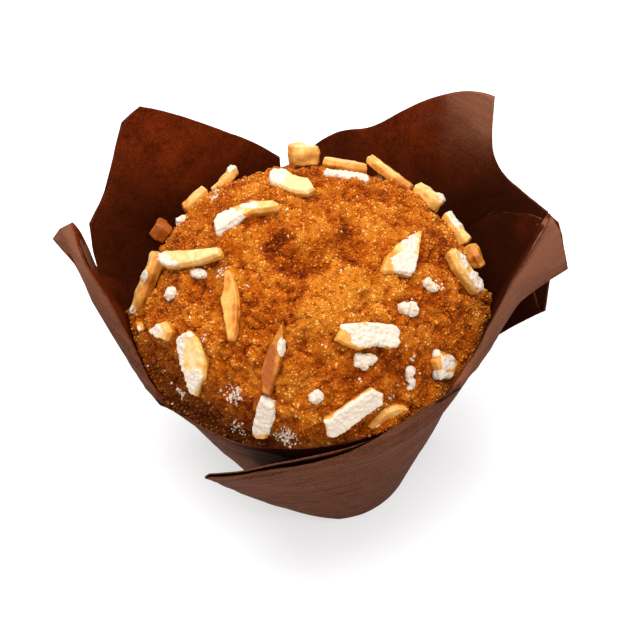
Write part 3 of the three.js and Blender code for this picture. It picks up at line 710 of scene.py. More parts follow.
@dataclass(frozen=True)
class AlmondFinish:
    """Toasted almond, cream on its cut face, tan at the sides with painted shade, white where
    sugar lies.
    """

    cream: Color = linear(214, 184, 130)
    golden: Color = linear(206, 150, 72)
    tan: Color = linear(188, 114, 30)
    caramel: Color = linear(142, 68, 2)
    sugar: Color = linear(202, 186, 169)
    bare: Color = linear(172, 130, 88)
    streak_size: float = 2.4
    crumb_size: float = 0.45
    crumb_depth: float = 0.12
    rough: float = 0.36
    sugar_dullness: float = 0.5
    gloss: float = 0.3

    def material(self) -> Material:
        """The almonds' material.

        Returns:
            The finished material.
        """
        shader = Shader("toasted_almond")
        streaks = shader.noise(self.streak_size, detail=4.0, roughness=0.65)
        crumbs = shader.noise(self.crumb_size, detail=4.0, roughness=0.75)
        toast = shader.math(
            "ADD", shader.attribute("toast"), shader.math("MULTIPLY_ADD", streaks, 1.1, -0.4)
        )
        nut = shader.ramp(
            toast, [(0.05, self.cream), (0.35, self.golden), (0.7, self.tan), (1.0, self.caramel)]
        )
        ragged = shader.math(
            "ADD", shader.attribute("sugar"), shader.math("MULTIPLY_ADD", crumbs, 1.1, -0.55)
        )
        white = shader.span(ragged, 0.42, 0.6)
        powder = shader.ramp(crumbs, [(0.3, self.bare), (0.47, self.sugar)])
        color = shader.mix(white, nut, powder)
        rough = shader.math("MULTIPLY_ADD", white, self.sugar_dullness, self.rough)
        return shader.finish(color, rough, [(crumbs, self.crumb_depth)], self.gloss)


@dataclass(frozen=True)
class SugarFinish:
    """Dry white sugar crumbs with a trace of crust colour."""

    white: Color = linear(203, 187, 170)
    stained: Color = linear(190, 152, 114)
    stain_size: float = 1.6
    crumb_size: float = 0.45
    crumb_depth: float = 0.2
    rough: float = 0.8
    gloss: float = 0.2

    def material(self) -> Material:
        """The sugar's material.

        Returns:
            The finished material.
        """
        shader = Shader("white_sugar")
        stain = shader.noise(self.stain_size, detail=5.0, roughness=0.75)
        crumbs = shader.noise(self.crumb_size, detail=4.0, roughness=0.75)
        color = shader.ramp(stain, [(0.36, self.stained), (0.52, self.white)])
        return shader.finish(color, self.rough, [(crumbs, self.crumb_depth)], self.gloss)


# Crust.


@dataclass(frozen=True)
class Dome:
    """The muffin's baked dome with its broad relief, sizes in millimetres.

    Azimuths are in radians from +X, counter-clockwise from above, and elevations are from
    the dome's widest ring.
    """

    radius: float = 41.2
    height: float = 31.0
    level: float = 54.0
    lean: Pair = (-4.0, 0.8)
    knob_radius: float = 8.5
    knob_rise: float = 1.5
    furrow_radius: float = 11.5
    furrow_width: float = 3.2
    furrow_depth: float = 2.2
    furrow_span: Pair = (170.0, 350.0)
    furrow_fade: float = 35.0
    ridge_azimuth: float = 282.0
    ridge_width: float = 26.0
    ridge_rise: float = 1.6
    ridge_span: Pair = (55.0, 78.0)
    ridge_fades: Pair = (20.0, 8.0)
    shoulder_azimuth: float = 202.0
    shoulder_width: float = 24.0
    shoulder_rise: float = 2.2
    shoulder_top: float = 40.0
    lump_rise: float = 0.7
    crag_rise: float = 0.35
    lump_span: Pair = (-6.0, 14.0)

    def normal(self, azimuth: Array, elevation: Array) -> Array:
        """Outward directions of the plain dome.

        Args:
            azimuth: Azimuths in radians.
            elevation: Elevations in radians.

        Returns:
            One direction of length 1 a place.
        """
        parts = np.stack(
            [
                np.cos(elevation) * np.cos(azimuth) / self.radius,
                np.cos(elevation) * np.sin(azimuth) / self.radius,
                np.sin(elevation) / self.height,
            ],
            axis=-1,
        )
        return parts / np.linalg.norm(parts, axis=-1, keepdims=True)

    def furrow_share(self, azimuth: Array, elevation: Array) -> Array:
        """How deep in the furrow round the knob each place lies.

        Args:
            azimuth: Azimuths in radians.
            elevation: Elevations in radians.

        Returns:
            0 outside the furrow to 1 at its bottom.
        """
        out = self.radius * np.cos(elevation)
        degrees = np.degrees(azimuth) % 360
        low, high = self.furrow_span
        around = ease(low, low + self.furrow_fade, degrees)
        around = around * (1 - ease(high - self.furrow_fade, high, degrees))
        return around * np.exp(-(((out - self.furrow_radius) / self.furrow_width) ** 2))

    def ridge_share(self, azimuth: Array, elevation: Array) -> Array:
        """How high on the ridge in front of the knob each place lies.

        Args:
            azimuth: Azimuths in radians.
            elevation: Elevations in radians.

        Returns:
            0 off the ridge to 1 on its crest.
        """
        degrees = np.degrees(azimuth) % 360
        up = np.degrees(elevation)
        low, high = self.ridge_span
        below, above = self.ridge_fades
        share = np.exp(-(((degrees - self.ridge_azimuth) / self.ridge_width) ** 2))
        return share * ease(low - below, low, up) * (1 - ease(high - above, high, up))

    def relief(self, azimuth: Array, elevation: Array) -> Array:
        """Height of the broad relief, which has the waves of the CAD's dome.

        Args:
            azimuth: Azimuths in radians.
            elevation: Elevations in radians.

        Returns:
            One height a place in millimetres.
        """
        out = self.radius * np.cos(elevation)
        x = out * np.cos(azimuth)
        y = out * np.sin(azimuth)
        z = self.height * np.sin(elevation)
        up = np.degrees(elevation)
        lumps = np.sin(x * 0.29 + 1.3) * np.cos(y * 0.26 - 0.4)
        lumps += 0.7 * np.sin(y * 0.41 + x * 0.13 + 2.1) * np.cos(z * 0.33 + 0.5)
        crags = np.sin(x * 0.83 + y * 0.31) * np.sin(y * 0.77 - z * 0.52 + 1.1)
        crags += 0.8 * np.cos(z * 0.9 - x * 0.6 + 0.7)
        knob = self.knob_rise * (1 - ease(self.knob_radius * 0.6, self.knob_radius * 1.25, out))
        furrow = self.furrow_depth * self.furrow_share(azimuth, elevation)
        ridge = self.ridge_rise * self.ridge_share(azimuth, elevation)
        off = azimuth - math.radians(self.shoulder_azimuth)
        away = np.degrees(np.arctan2(np.sin(off), np.cos(off)))
        shoulder = np.exp(-((away / self.shoulder_width) ** 2))
        shoulder = shoulder * (1 - ease(0, self.shoulder_top, up))
        low, high = self.lump_span
        fade = ease(math.radians(low), math.radians(high), elevation)
        rough = self.lump_rise * lumps + self.crag_rise * crags
        return knob - furrow + ridge + self.shoulder_rise * shoulder + fade * rough

    def point(self, azimuth: Array | float, elevation: Array | float, lift: float = 0.0) -> Array:
        """Places on the crust.

        Args:
            azimuth: Azimuths in radians.
            elevation: Elevations in radians.
            lift: How far off the broad relief they lie, in millimetres.

        Returns:
            The places in millimetres.
        """
        plain = np.stack(
            [
                self.lean[0] + self.radius * np.cos(elevation) * np.cos(azimuth),
                self.lean[1] + self.radius * np.cos(elevation) * np.sin(azimuth),
                self.level + self.height * np.sin(elevation),
            ],
            axis=-1,
        )
        rise = self.relief(azimuth, elevation) + lift
        return plain + self.normal(azimuth, elevation) * np.expand_dims(rise, -1)


@dataclass(frozen=True)
class Swell:
    """A bulge of the crust, or a hollow where its rise is below zero.

    Attributes:
        azimuth: Where its middle lies, in degrees from +X.
        elevation: Where its middle lies, in degrees above the widest ring.
        reach: Its half width in millimetres.
        rise: Its height in millimetres.
    """

    azimuth: float
    elevation: float
    reach: float
    rise: float


@dataclass(frozen=True)
class Split:
    """A groove in the crust along a line of azimuths and elevations in degrees."""

    line: tuple[Pair, ...]
    reach: float
    depth: float


@dataclass(frozen=True)
class Layer:
    """A layer of noise over a surface.

    Attributes:
        size: Width of its lumps in millimetres.
        seed: Shifts its pattern.
        octaves: How many layers it has, each half as wide and half as strong as the last.
        rise: Its height in millimetres.
    """

    size: float
    seed: float
    octaves: int
    rise: float

    def at(self, places: Array) -> Array:
        """The layer's height at each place."""
        return self.rise * noise_at(places, self.size, self.seed, self.octaves)


SWELLS = (
    Swell(272, 83, 6.5, 1.5),
    Swell(297, 56, 8.0, 0.7),
    Swell(268, 66, 4.0, 0.5),
    Swell(208, 62, 6.0, 0.5),
    Swell(20, 62, 8.0, 0.6),
    Swell(325, 60, 6.0, 0.5),
    Swell(262, 28, 6.0, 0.5),
    Swell(226, 24, 6.0, 0.4),
)

SPLITS = (
    Split(
        ((196, 77), (204, 72), (233, 70), (261, 70.5), (287, 73), (310, 70), (337, 72), (352, 78)),
        1.7,
        0.9,
    ),
    Split(((262, 66), (257.6, 60.2), (257.2, 53), (250, 46)), 2.0, 0.9),
    Split(((46, 65), (36, 58), (20, 54)), 1.8, 0.6),
    Split(((318, 50), (314, 58), (318, 64)), 1.6, 0.5),
)

DUSTINGS = (
    Swell(241.0, 17.0, 2.3, 1.0),
    Swell(223.0, 33.0, 1.3, 0.7),
    Swell(261.0, 3.0, 2.4, 0.9),
    Swell(244.0, 0.0, 1.8, 0.8),
    Swell(222.0, 3.0, 1.5, 0.7),
    Swell(221.0, 17.0, 1.6, 0.25),
    Swell(325.0, 46.0, 0.9, 0.8),
    Swell(310.0, 29.0, 0.8, 0.8),
    Swell(298.0, 16.0, 1.0, 0.6),
    Swell(203.0, 54.0, 1.4, 0.7),
    Swell(341.0, 41.0, 1.6, 0.6),
    Swell(288.0, 28.0, 1.6, 0.2),
    Swell(60.0, 30.0, 2.4, 0.7),
    Swell(105.0, 18.0, 2.2, 0.8),
    Swell(140.0, 40.0, 1.8, 0.6),
    Swell(20.0, 18.0, 2.0, 0.7),
)


@dataclass
class Crust:
    """The muffin: a cone inside the paper and a grainy, lumpy dome above it.

    Sizes are in millimetres. A span is the pair of values between which something fades:
    elevations in degrees, but in radians for the cover of grains. A share is a strength.
    """

    dome: Dome
    finish: CrustFinish = field(default_factory=CrustFinish)
    cells: int = 276
    lowest: float = -5.0
    side_heights: tuple[float, ...] = (50.0, 42.0, 33.0, 24.0, 15.0, 7.0, 2.0)
    case_radius: float = 39.6
    foot_radius: float = 20.8
    foot_height: float = 0.8
    foot_round: float = 1.2
    paper_gap: float = 0.35
    paper_near: float = 3.5
    paper_reach: float = 6.0
    squeeze: float = 1.2
    swell_span: Pair = (2.0, 17.0)
    crags: Layer = Layer(7.0, 1.0, 3, 0.85)
    crumb: Layer = Layer(2.3, 2.0, 2, 0.8)
    grains: Layer = Layer(0.95, 3.0, 1, 0.35)
    cracks: Layer = Layer(9.0, 7.0, 2, 1.0)
    crack_width: float = 0.07
    crack_depth: float = 0.6
    rough_span: Pair = (-12.0, 2.0)
    rough_least: float = 0.2
    # Painted shade near the paper's rim, reaching higher round the lower left, where the paper
    # stands taller.
    shade_azimuth: float = 221.0
    shade_width: float = 26.0
    shade_rise: float = 26.0
    rim_shade_span: Pair = (-7.0, 8.0)
    rim_shade_ragged: float = 5.0
    rim_shade_share: float = 0.92
    # Strengths of the hollow mark: painted shade in the furrow, real browning on the knob, painted
    # shade in low places.
    furrow_share: float = 0.12
    knob_share: float = 0.34
    low_relief_shade_share: float = 0.38
    cover_span: Pair = (-0.24, -0.14)
    dust_edge: float = 0.1
    dust_trace: float = 0.0012

    def swelling(self, paper: BVHTree, places: Array, azimuth: Array, up: Array) -> Array:
        """How far the dome's foot swells towards the paper that holds it.

        Args:
            paper: The paper's search tree.
            places: The crust's places.
            azimuth: Their directions in radians.
            up: Their elevations in degrees.

        Returns:
            The distance for each place in millimetres.
        """
        push = np.zeros(len(places))
        low = np.flatnonzero(up < self.swell_span[1])
        ways = np.column_stack([np.cos(azimuth[low]), np.sin(azimuth[low]), np.zeros(len(low))])
        gap = gap_along(paper, places[low], ways, self.paper_reach)
        room = np.clip(gap - self.paper_gap, -self.squeeze, None)
        room = room * (1 - ease(self.paper_near, self.paper_reach, gap))
        push[low] = room * (1 - ease(*self.swell_span, up[low]))
        return push

    def grid(self) -> tuple[Array, Array]:
        """An even square net laid over the dome.

        Returns:
            The azimuths and the elevations of its corners, in radians.
        """
        steps = np.linspace(-1, 1, self.cells + 1)
        u, v = np.meshgrid(steps, steps)
        with np.errstate(divide="ignore", invalid="ignore"):
            wide = np.abs(u) > np.abs(v)
            reach = np.where(wide, u, v)
            turn = np.where(wide, math.pi / 4 * v / u, math.pi / 2 - math.pi / 4 * u / v)
        turn = np.where(reach == 0, 0.0, turn)
        azimuth = np.where(reach < 0, turn + math.pi, turn)
        elevation = math.pi / 2 - np.abs(reach) * math.radians(90 - self.lowest)
        return azimuth.ravel(), elevation.ravel()

    def fine_relief(self, places: Array, elevation: Array) -> Array:
        """Crags, cracks, crumb and grains of the dome.

        Args:
            places: The crust's places.
            elevation: Their elevations in radians.

        Returns:
            One height a place in millimetres.
        """
        cracks = np.exp(-((self.cracks.at(places) / self.crack_width) ** 2))
        total = self.crags.at(places) - self.crack_depth * cracks
        total = total + self.crumb.at(places) + self.grains.at(places)
        for swell in SWELLS:
            total += swell.rise * self.near(places, swell)
        for split in SPLITS:
            total -= split.depth * self.along(places, split)
        low, high = self.rough_span
        fade = ease(math.radians(low), math.radians(high), elevation)
        return total * (self.rough_least + (1 - self.rough_least) * fade)

    def spot(self, azimuth: float, elevation: float) -> Array:
        """A place on the dome from its angles in degrees."""
        return self.dome.point(math.radians(azimuth), math.radians(elevation))

    def near(self, places: Array, swell: Swell) -> Array:
        """How near each place lies to a swell's middle, 0 to 1."""
        away = np.linalg.norm(places - self.spot(swell.azimuth, swell.elevation), axis=1)
        return np.exp(-((away / swell.reach) ** 2))

    def along(self, places: Array, split: Split) -> Array:
        """How near each place lies to a split's line.

        Args:
            places: The crust's places.
            split: The groove.

        Returns:
            0 far off to 1 on the line.
        """
        corners = [self.spot(*corner) for corner in split.line]
        away = np.full(len(places), np.inf)
        for start, end in zip(corners, corners[1:]):
            run = end - start
            share = np.clip((places - start) @ run / (run @ run), 0, 1)
            away = np.minimum(away, np.linalg.norm(places - start - share[:, None] * run, axis=1))
        return np.exp(-((away / split.reach) ** 2))

    def border(self) -> list[int]:
        """The net's outline.

        Returns:
            Numbers of its corners, counter-clockwise from above.
        """
        n = self.cells
        row = n + 1
        bottom = list(range(n))
        right = [i * row + n for i in range(n)]
        top = [n * row + i for i in range(n, 0, -1)]
        left = [i * row for i in range(n, 0, -1)]
        return bottom + right + top + left

    def cone(self, azimuth: Array) -> tuple[list[Array], list[list[int]]]:
        """The closed cone inside the paper, hung from the net's outline.

        Args:
            azimuth: Azimuths of the net in radians.

        Returns:
            The places of its rings from the top down, and its faces.
        """
        ring = self.border()
        angles = azimuth[ring]
        size = len(ring)
        top, bottom = self.side_heights[0], self.side_heights[-1]
        flare = self.case_radius - self.foot_radius
        outlines = [
            (self.foot_radius + flare * (height - bottom) / (top - bottom), height)
            for height in self.side_heights
        ]
        outlines.append((self.foot_radius - self.foot_round, self.foot_height))
        rings: list[Array] = []
        faces: list[list[int]] = []
        count = len(azimuth)
        for radius, height in outlines:
            share = ease(0, self.dome.level, height)
            x = self.dome.lean[0] * share + radius * np.cos(angles)
            y = self.dome.lean[1] * share + radius * np.sin(angles)
            rings.append(np.column_stack([x, y, np.full(size, height)]))
            lower = list(range(count, count + size))
            faces += [
                [ring[i - size + 1], ring[i], lower[i], lower[i - size + 1]] for i in range(size)
            ]
            ring = lower
            count += size
        rings.append(np.array([[0.0, 0.0, self.foot_height]]))
        faces += [[ring[i - size + 1], ring[i], count] for i in range(size)]
        return rings, faces

    def mark(
        self,
        mesh: Mesh,
        places: Array,
        azimuth: Array,
        elevation: Array,
        lift: Array,
    ) -> None:
        """Stores on the mesh what its finish and the grains read.

        Args:
            mesh: The muffin, its dome's places first.
            places: The dome's places.
            azimuth: Their azimuths in radians.
            elevation: Their elevations in radians.
            lift: Their fine relief in millimetres.
        """
        # Painted shade: rim darkens the crust near the paper, reaching higher round the shade
        # azimuth.
        around = (np.degrees(azimuth) - self.shade_azimuth + 180) % 360 - 180
        shade = self.shade_rise * np.exp(-((around / self.shade_width) ** 2))
        low, high = self.rim_shade_span
        rim = 1 - ease(low, high + shade, np.degrees(elevation) - self.rim_shade_ragged * lift)
        # The hollow mark: painted shade in the furrow and in low places, with real browning on the
        # knob.
        furrow = self.furrow_share * self.dome.furrow_share(azimuth, elevation)
        knob = self.knob_share * self.near(places, SWELLS[0])
        dust = sum(swell.rise * self.near(places, swell) for swell in DUSTINGS)
        marks = {
            "golden": (self.dome.ridge_share(azimuth, elevation), 0.0),
            "hollow": (furrow + knob - self.low_relief_shade_share * lift, 0.0),
            "rim": (self.rim_shade_share * rim, 1.0),
            "cover": (ease(*self.cover_span, elevation), 0.0),
            "dust": (np.clip(dust - self.dust_edge, self.dust_trace, 1), 0.0),
        }
        hidden = len(mesh.vertices) - len(places)
        for name, (values, below) in marks.items():
            add_attribute(mesh, name, np.concatenate([values, np.full(hidden, below)]))

    def build(self, paper: BVHTree) -> Piece:
        """Makes the muffin, one closed body inside the paper.

        Args:
            paper: The paper's search tree.

        Returns:
            The finished piece.
        """
        azimuth, elevation = self.grid()
        places = self.dome.point(azimuth, elevation)
        lift = self.fine_relief(places, elevation)
        places = places + self.dome.normal(azimuth, elevation) * lift[:, None]
        push = self.swelling(paper, places, azimuth, np.degrees(elevation))
        places[:, 0] += np.cos(azimuth) * push
        places[:, 1] += np.sin(azimuth) * push
        n = self.cells
        row = n + 1
        corner = (np.arange(n)[:, None] * row + np.arange(n)[None, :]).ravel()
        faces = np.stack([corner, corner + 1, corner + row + 1, corner + row], axis=1).tolist()
        rings, sides = self.cone(azimuth)
        mesh = bpy.data.meshes.new("muffin_crust")
        every = np.concatenate([places, *rings])
        mesh.from_pydata((every * MM).tolist(), [], faces + sides)
        self.mark(mesh, places, azimuth, elevation, lift)
        piece = new_object("muffin_crust", mesh, self.finish.material())
        settle(piece, ["muffin"])
        return piece


# Paper case.


@dataclass(frozen=True)
class Press:
    """A place where the rim is pressed down between two petals.

    Attributes:
        place: Its middle, seen from above.
        reach: How far it reaches to -X, +X, -Y and +Y.
        base: The height that nothing is pressed below.
        share: The share of the height above the base that is pressed away.
    """

    place: Pair
    reach: tuple[float, float, float, float]
    base: float
    share: float

    def apply(self, places: Array) -> None:
        """Presses down the places in reach.

        Args:
            places: N x 3 places in millimetres, changed as they stand.
        """
        x = places[:, 0] - self.place[0]
        y = places[:, 1] - self.place[1]
        left, right, front, back = self.reach
        wide = (x / np.where(x < 0, left, right)) ** 2 + (y / np.where(y < 0, front, back)) ** 2
        above = np.clip(places[:, 2] - self.base, 0, None)
        places[:, 2] -= above * self.share * np.exp(-wide)


@dataclass
class PaperCase:
    """The folded sheet: the CAD's band of paper made thin, smooth and creased.

    Sizes are in millimetres. The fold and corner angles, above which the sheet stays crisp,
    are in degrees, and the flat and square angles, below which triangles are joined, in
    radians. A span is the pair of values between which something fades: heights, places
    along an axis, distances or the share that a place faces outwards.
    """

    node: Piece
    dome: Dome
    finish: PaperFinish = field(default_factory=PaperFinish)
    thinner: float = 0.07
    wave_rise: float = 0.7
    wave_size: float = 13.0
    wave_stretch: Triple = (1.0, 1.0, 0.45)
    ripple_rise: float = 0.25
    ripple_size: float = 4.5
    ripple_stretch: Triple = (1.0, 1.0, 0.4)
    fold_angle: float = 50.0
    corner_angle: float = 24.0
    rounds: int = 2
    flat_angle: float = 0.7
    square_angle: float = 1.4
    left_tuck: Triple = (-63.0, 11.5, 55.0)
    tuck_depth: float = 2.5
    tuck_reach: float = 3.0
    left_valley: Press = Press((-57.5, 13.0), (2.6, 6.0, 6.0, 3.5), 50.0, 0.65)
    tilt_share: float = 0.15
    inside_span: Pair = (-0.05, 0.3)
    dry_corner: Triple = (41.0, 47.0, 84.0)
    dry_span: Pair = (4.0, 24.0)
    dry_edge: Layer = Layer(9.0, 8.0, 2, 4.0)
    # Painted shade between the layers of a fold: how far the search tips down, the gaps it fades
    # over, the facing it needs.
    pocket_fall: float = 0.9
    pocket_span: Pair = (3.0, 12.0)
    pocket_facing: Pair = (0.1, 0.4)
    # Painted shade on the inside: darker below the rim height, more on the right petal and towards
    # its front.
    inner_shade_span: Pair = (48.0, 76.0)
    close_edge: Layer = Layer(10.0, 9.0, 2, 5.0)
    inner_shade_shares: Triple = (0.75, 0.4, 0.2)
    inner_shade_most: float = 0.92
    right_span: Pair = (10.0, 40.0)
    right_rise: float = 8.0
    front_span: Pair = (4.0, 20.0)
    # Painted highlight on the high outward-facing flaps; dry_share lightens the dry paper.
    highlight_span: Pair = (52.0, 74.0)
    highlight_facing: Pair = (0.15, 0.5)
    highlight_ragged: float = 0.6
    highlight_share: float = 0.5
    dry_share: float = 0.4
    fibre_radius: float = 45.0
    fibre_slope: float = 0.12
    free_span: Pair = (6.0, 30.0)

    def mark_folds(self, shape: bmesh.types.BMesh) -> None:
        """Keeps the cut edges, folds and corners of the sheet crisp when it is smoothed.

        Args:
            shape: The sheet; its creases are set.
        """
        edge_crease = shape.edges.layers.float.new("crease_edge")
        point_crease = shape.verts.layers.float.new("crease_vert")
        for edge in shape.edges:
            if edge.calc_face_angle(0.0) > math.radians(self.fold_angle):
                edge[edge_crease] = 1.0
        for vertex in shape.verts:
            ways = [
                (edge.other_vert(vertex).co - vertex.co).normalized()
                for edge in vertex.link_edges
                if edge[edge_crease] > 0
            ]
            if len(ways) == 2 and ways[0].angle(-ways[1], 0.0) > math.radians(self.corner_angle):
                vertex[point_crease] = 1.0

    def smooth_sheet(self) -> Mesh:
        """The sheet with its facets turned into smooth bends between the folds.

        Returns:
            A new mesh.
        """
        mesh = merged_copy(self.node)
        shape = bmesh.new()
        shape.from_mesh(mesh)
        bmesh.ops.join_triangles(
            shape,
            faces=shape.faces,
            angle_face_threshold=self.flat_angle,
            angle_shape_threshold=self.square_angle,
        )
        self.mark_folds(shape)
        shape.to_mesh(mesh)
        shape.free()
        worker = linked("worker", mesh)
        curve = worker.modifiers.new("curve", "SUBSURF")
        curve.levels = curve.render_levels = self.rounds
        return baked(worker)

    def mark(self, mesh: Mesh, places: Array, outward: Array, distance: Array) -> None:
        """Stores on the sheet what its finish reads.

        Args:
            mesh: The sheet.
            places: Its places in millimetres.
            outward: The way out at each place, seen from above.
            distance: How far from the middle each place lies.
        """
        normals = mesh_normals(mesh)
        facing = (normals[:, :2] * outward).sum(axis=1) + self.tilt_share * normals[:, 2]
        add_attribute(mesh, "inside", 1 - ease(*self.inside_span, facing))
        from_corner = np.linalg.norm(places - self.dry_corner, axis=1)
        soaked = ease(*self.dry_span, from_corner + self.dry_edge.at(places))
        add_attribute(mesh, "soaked", soaked)
        # Painted shade on outer faces with another layer of the fold just below them.
        down = normals - (0.0, 0.0, self.pocket_fall)
        down /= np.linalg.norm(down, axis=1, keepdims=True)
        gap = gap_along(surface_tree(mesh), places, down, self.pocket_span[1])
        pocket_shade = (1 - ease(*self.pocket_span, gap)) * ease(*self.pocket_facing, facing)
        add_attribute(mesh, "pocket_shade", pocket_shade)
        # Painted shade on the inside, darker low down and on the right petal; uneven also frays
        # the painted highlight.
        uneven = self.close_edge.at(places)
        right = ease(*self.right_span, places[:, 0])
        front = 1 - ease(*self.front_span, places[:, 1])
        low, high = self.inner_shade_span
        inner_shade = 1 - ease(low, high + self.right_rise * right, places[:, 2] + uneven)
        below, side, near = self.inner_shade_shares
        inner_shade = np.clip(below * inner_shade + (side + near * front) * right, 0, self.inner_shade_most)
        add_attribute(mesh, "inner_shade", inner_shade)
        # Painted highlight on high outward-facing faces, and the lighter dry paper away from the
        # grease.
        painted_highlight_and_dry = ease(*self.highlight_span, places[:, 2] + self.highlight_ragged * uneven)
        painted_highlight_and_dry = self.highlight_share * (painted_highlight_and_dry * ease(*self.highlight_facing, facing))
        add_attribute(mesh, "painted_highlight_and_dry", np.maximum(painted_highlight_and_dry, self.dry_share * (1 - soaked)))
        grain = mesh.attributes.new("grain", "FLOAT_VECTOR", "POINT")
        along = places[:, 2] + self.fibre_slope * distance
        wrapped = np.column_stack([outward * self.fibre_radius, along])
        grain.data.foreach_set("vector", wrapped.astype(np.float32).ravel())

    def waved(self, mesh: Mesh, places: Array, outward: Array) -> Array:
        """The sheet's places, thinned and with the waves of real paper.

        Args:
            mesh: The sheet.
            places: Its places in millimetres.
            outward: The way out at each place, seen from above.

        Returns:
            The new places in millimetres.
        """
        free = ease(*self.free_span, places[:, 2])
        broad = 0.5 + 0.5 * noise_at(places * self.wave_stretch, self.wave_size, seed=5)
        broad = self.wave_rise * broad
        fine = noise_at(places * self.ripple_stretch, self.ripple_size, seed=6, octaves=2)
        fine = self.ripple_rise * fine
        shifted = places - mesh_normals(mesh) * self.thinner
        shifted[:, :2] += outward * (np.clip(broad + fine, 0, None) * free)[:, None]
        return shifted

    def build(self) -> Piece:
        """Makes the paper.

        Returns:
            The finished piece.
        """
        mesh = self.smooth_sheet()
        places = mesh_points(mesh)
        self.left_valley.apply(places)
        from_tuck = np.linalg.norm(places - self.left_tuck, axis=1)
        places[:, 0] += self.tuck_depth * np.exp(-((from_tuck / self.tuck_reach) ** 2))
        set_points(mesh, places)
        centre = np.array(self.dome.lean) * ease(0, self.dome.level, places[:, 2])[:, None]
        reach = places[:, :2] - centre
        distance = np.linalg.norm(reach, axis=1)
        outward = reach / np.maximum(distance, 1e-6)[:, None]
        self.mark(mesh, places, outward, distance)
        set_points(mesh, self.waved(mesh, places, outward))
        piece = new_object("folded_paper", mesh, self.finish.material())
        settle(piece, ["paper_case"])
        return piece


# Almonds.


class Cover(Enum):
    """Which faces of a sliver its sugar lies on."""

    TOP = "the outer face alone"
    ALL = "the sides too"


@dataclass(frozen=True)
class Patch:
    """A patch of sugar or of toasting, in shares of a sliver's outline.

    Attributes:
        across: Its middle, 0 at the sliver's left end and 1 at its right.
        upward: Its middle, 0 at the sliver's front or lower edge and 1 at its back.
        wide: Half its width.
        high: Half its height.
    """

    across: float
    upward: float
    wide: float
    high: float


@dataclass(frozen=True)
class Sliver:
    """How one sliver of almond is dressed.

    Attributes:
        toast: How brown it is, 0 cream to 1 caramel.
        sugar: Patches of white sugar.
        browned_and_shaded: Patches of darker tan, partly stronger toasting and partly painted
            shade on shaded sides.
        cover: The faces that the sugar lies on.
        lumpy: How far it bulges in and out of its plain cut shape, in millimetres.
    """

    toast: float = 0.15
    sugar: tuple[Patch, ...] = ()
    browned_and_shaded: tuple[Patch, ...] = ()
    cover: Cover = Cover.TOP
    lumpy: float = 0.0


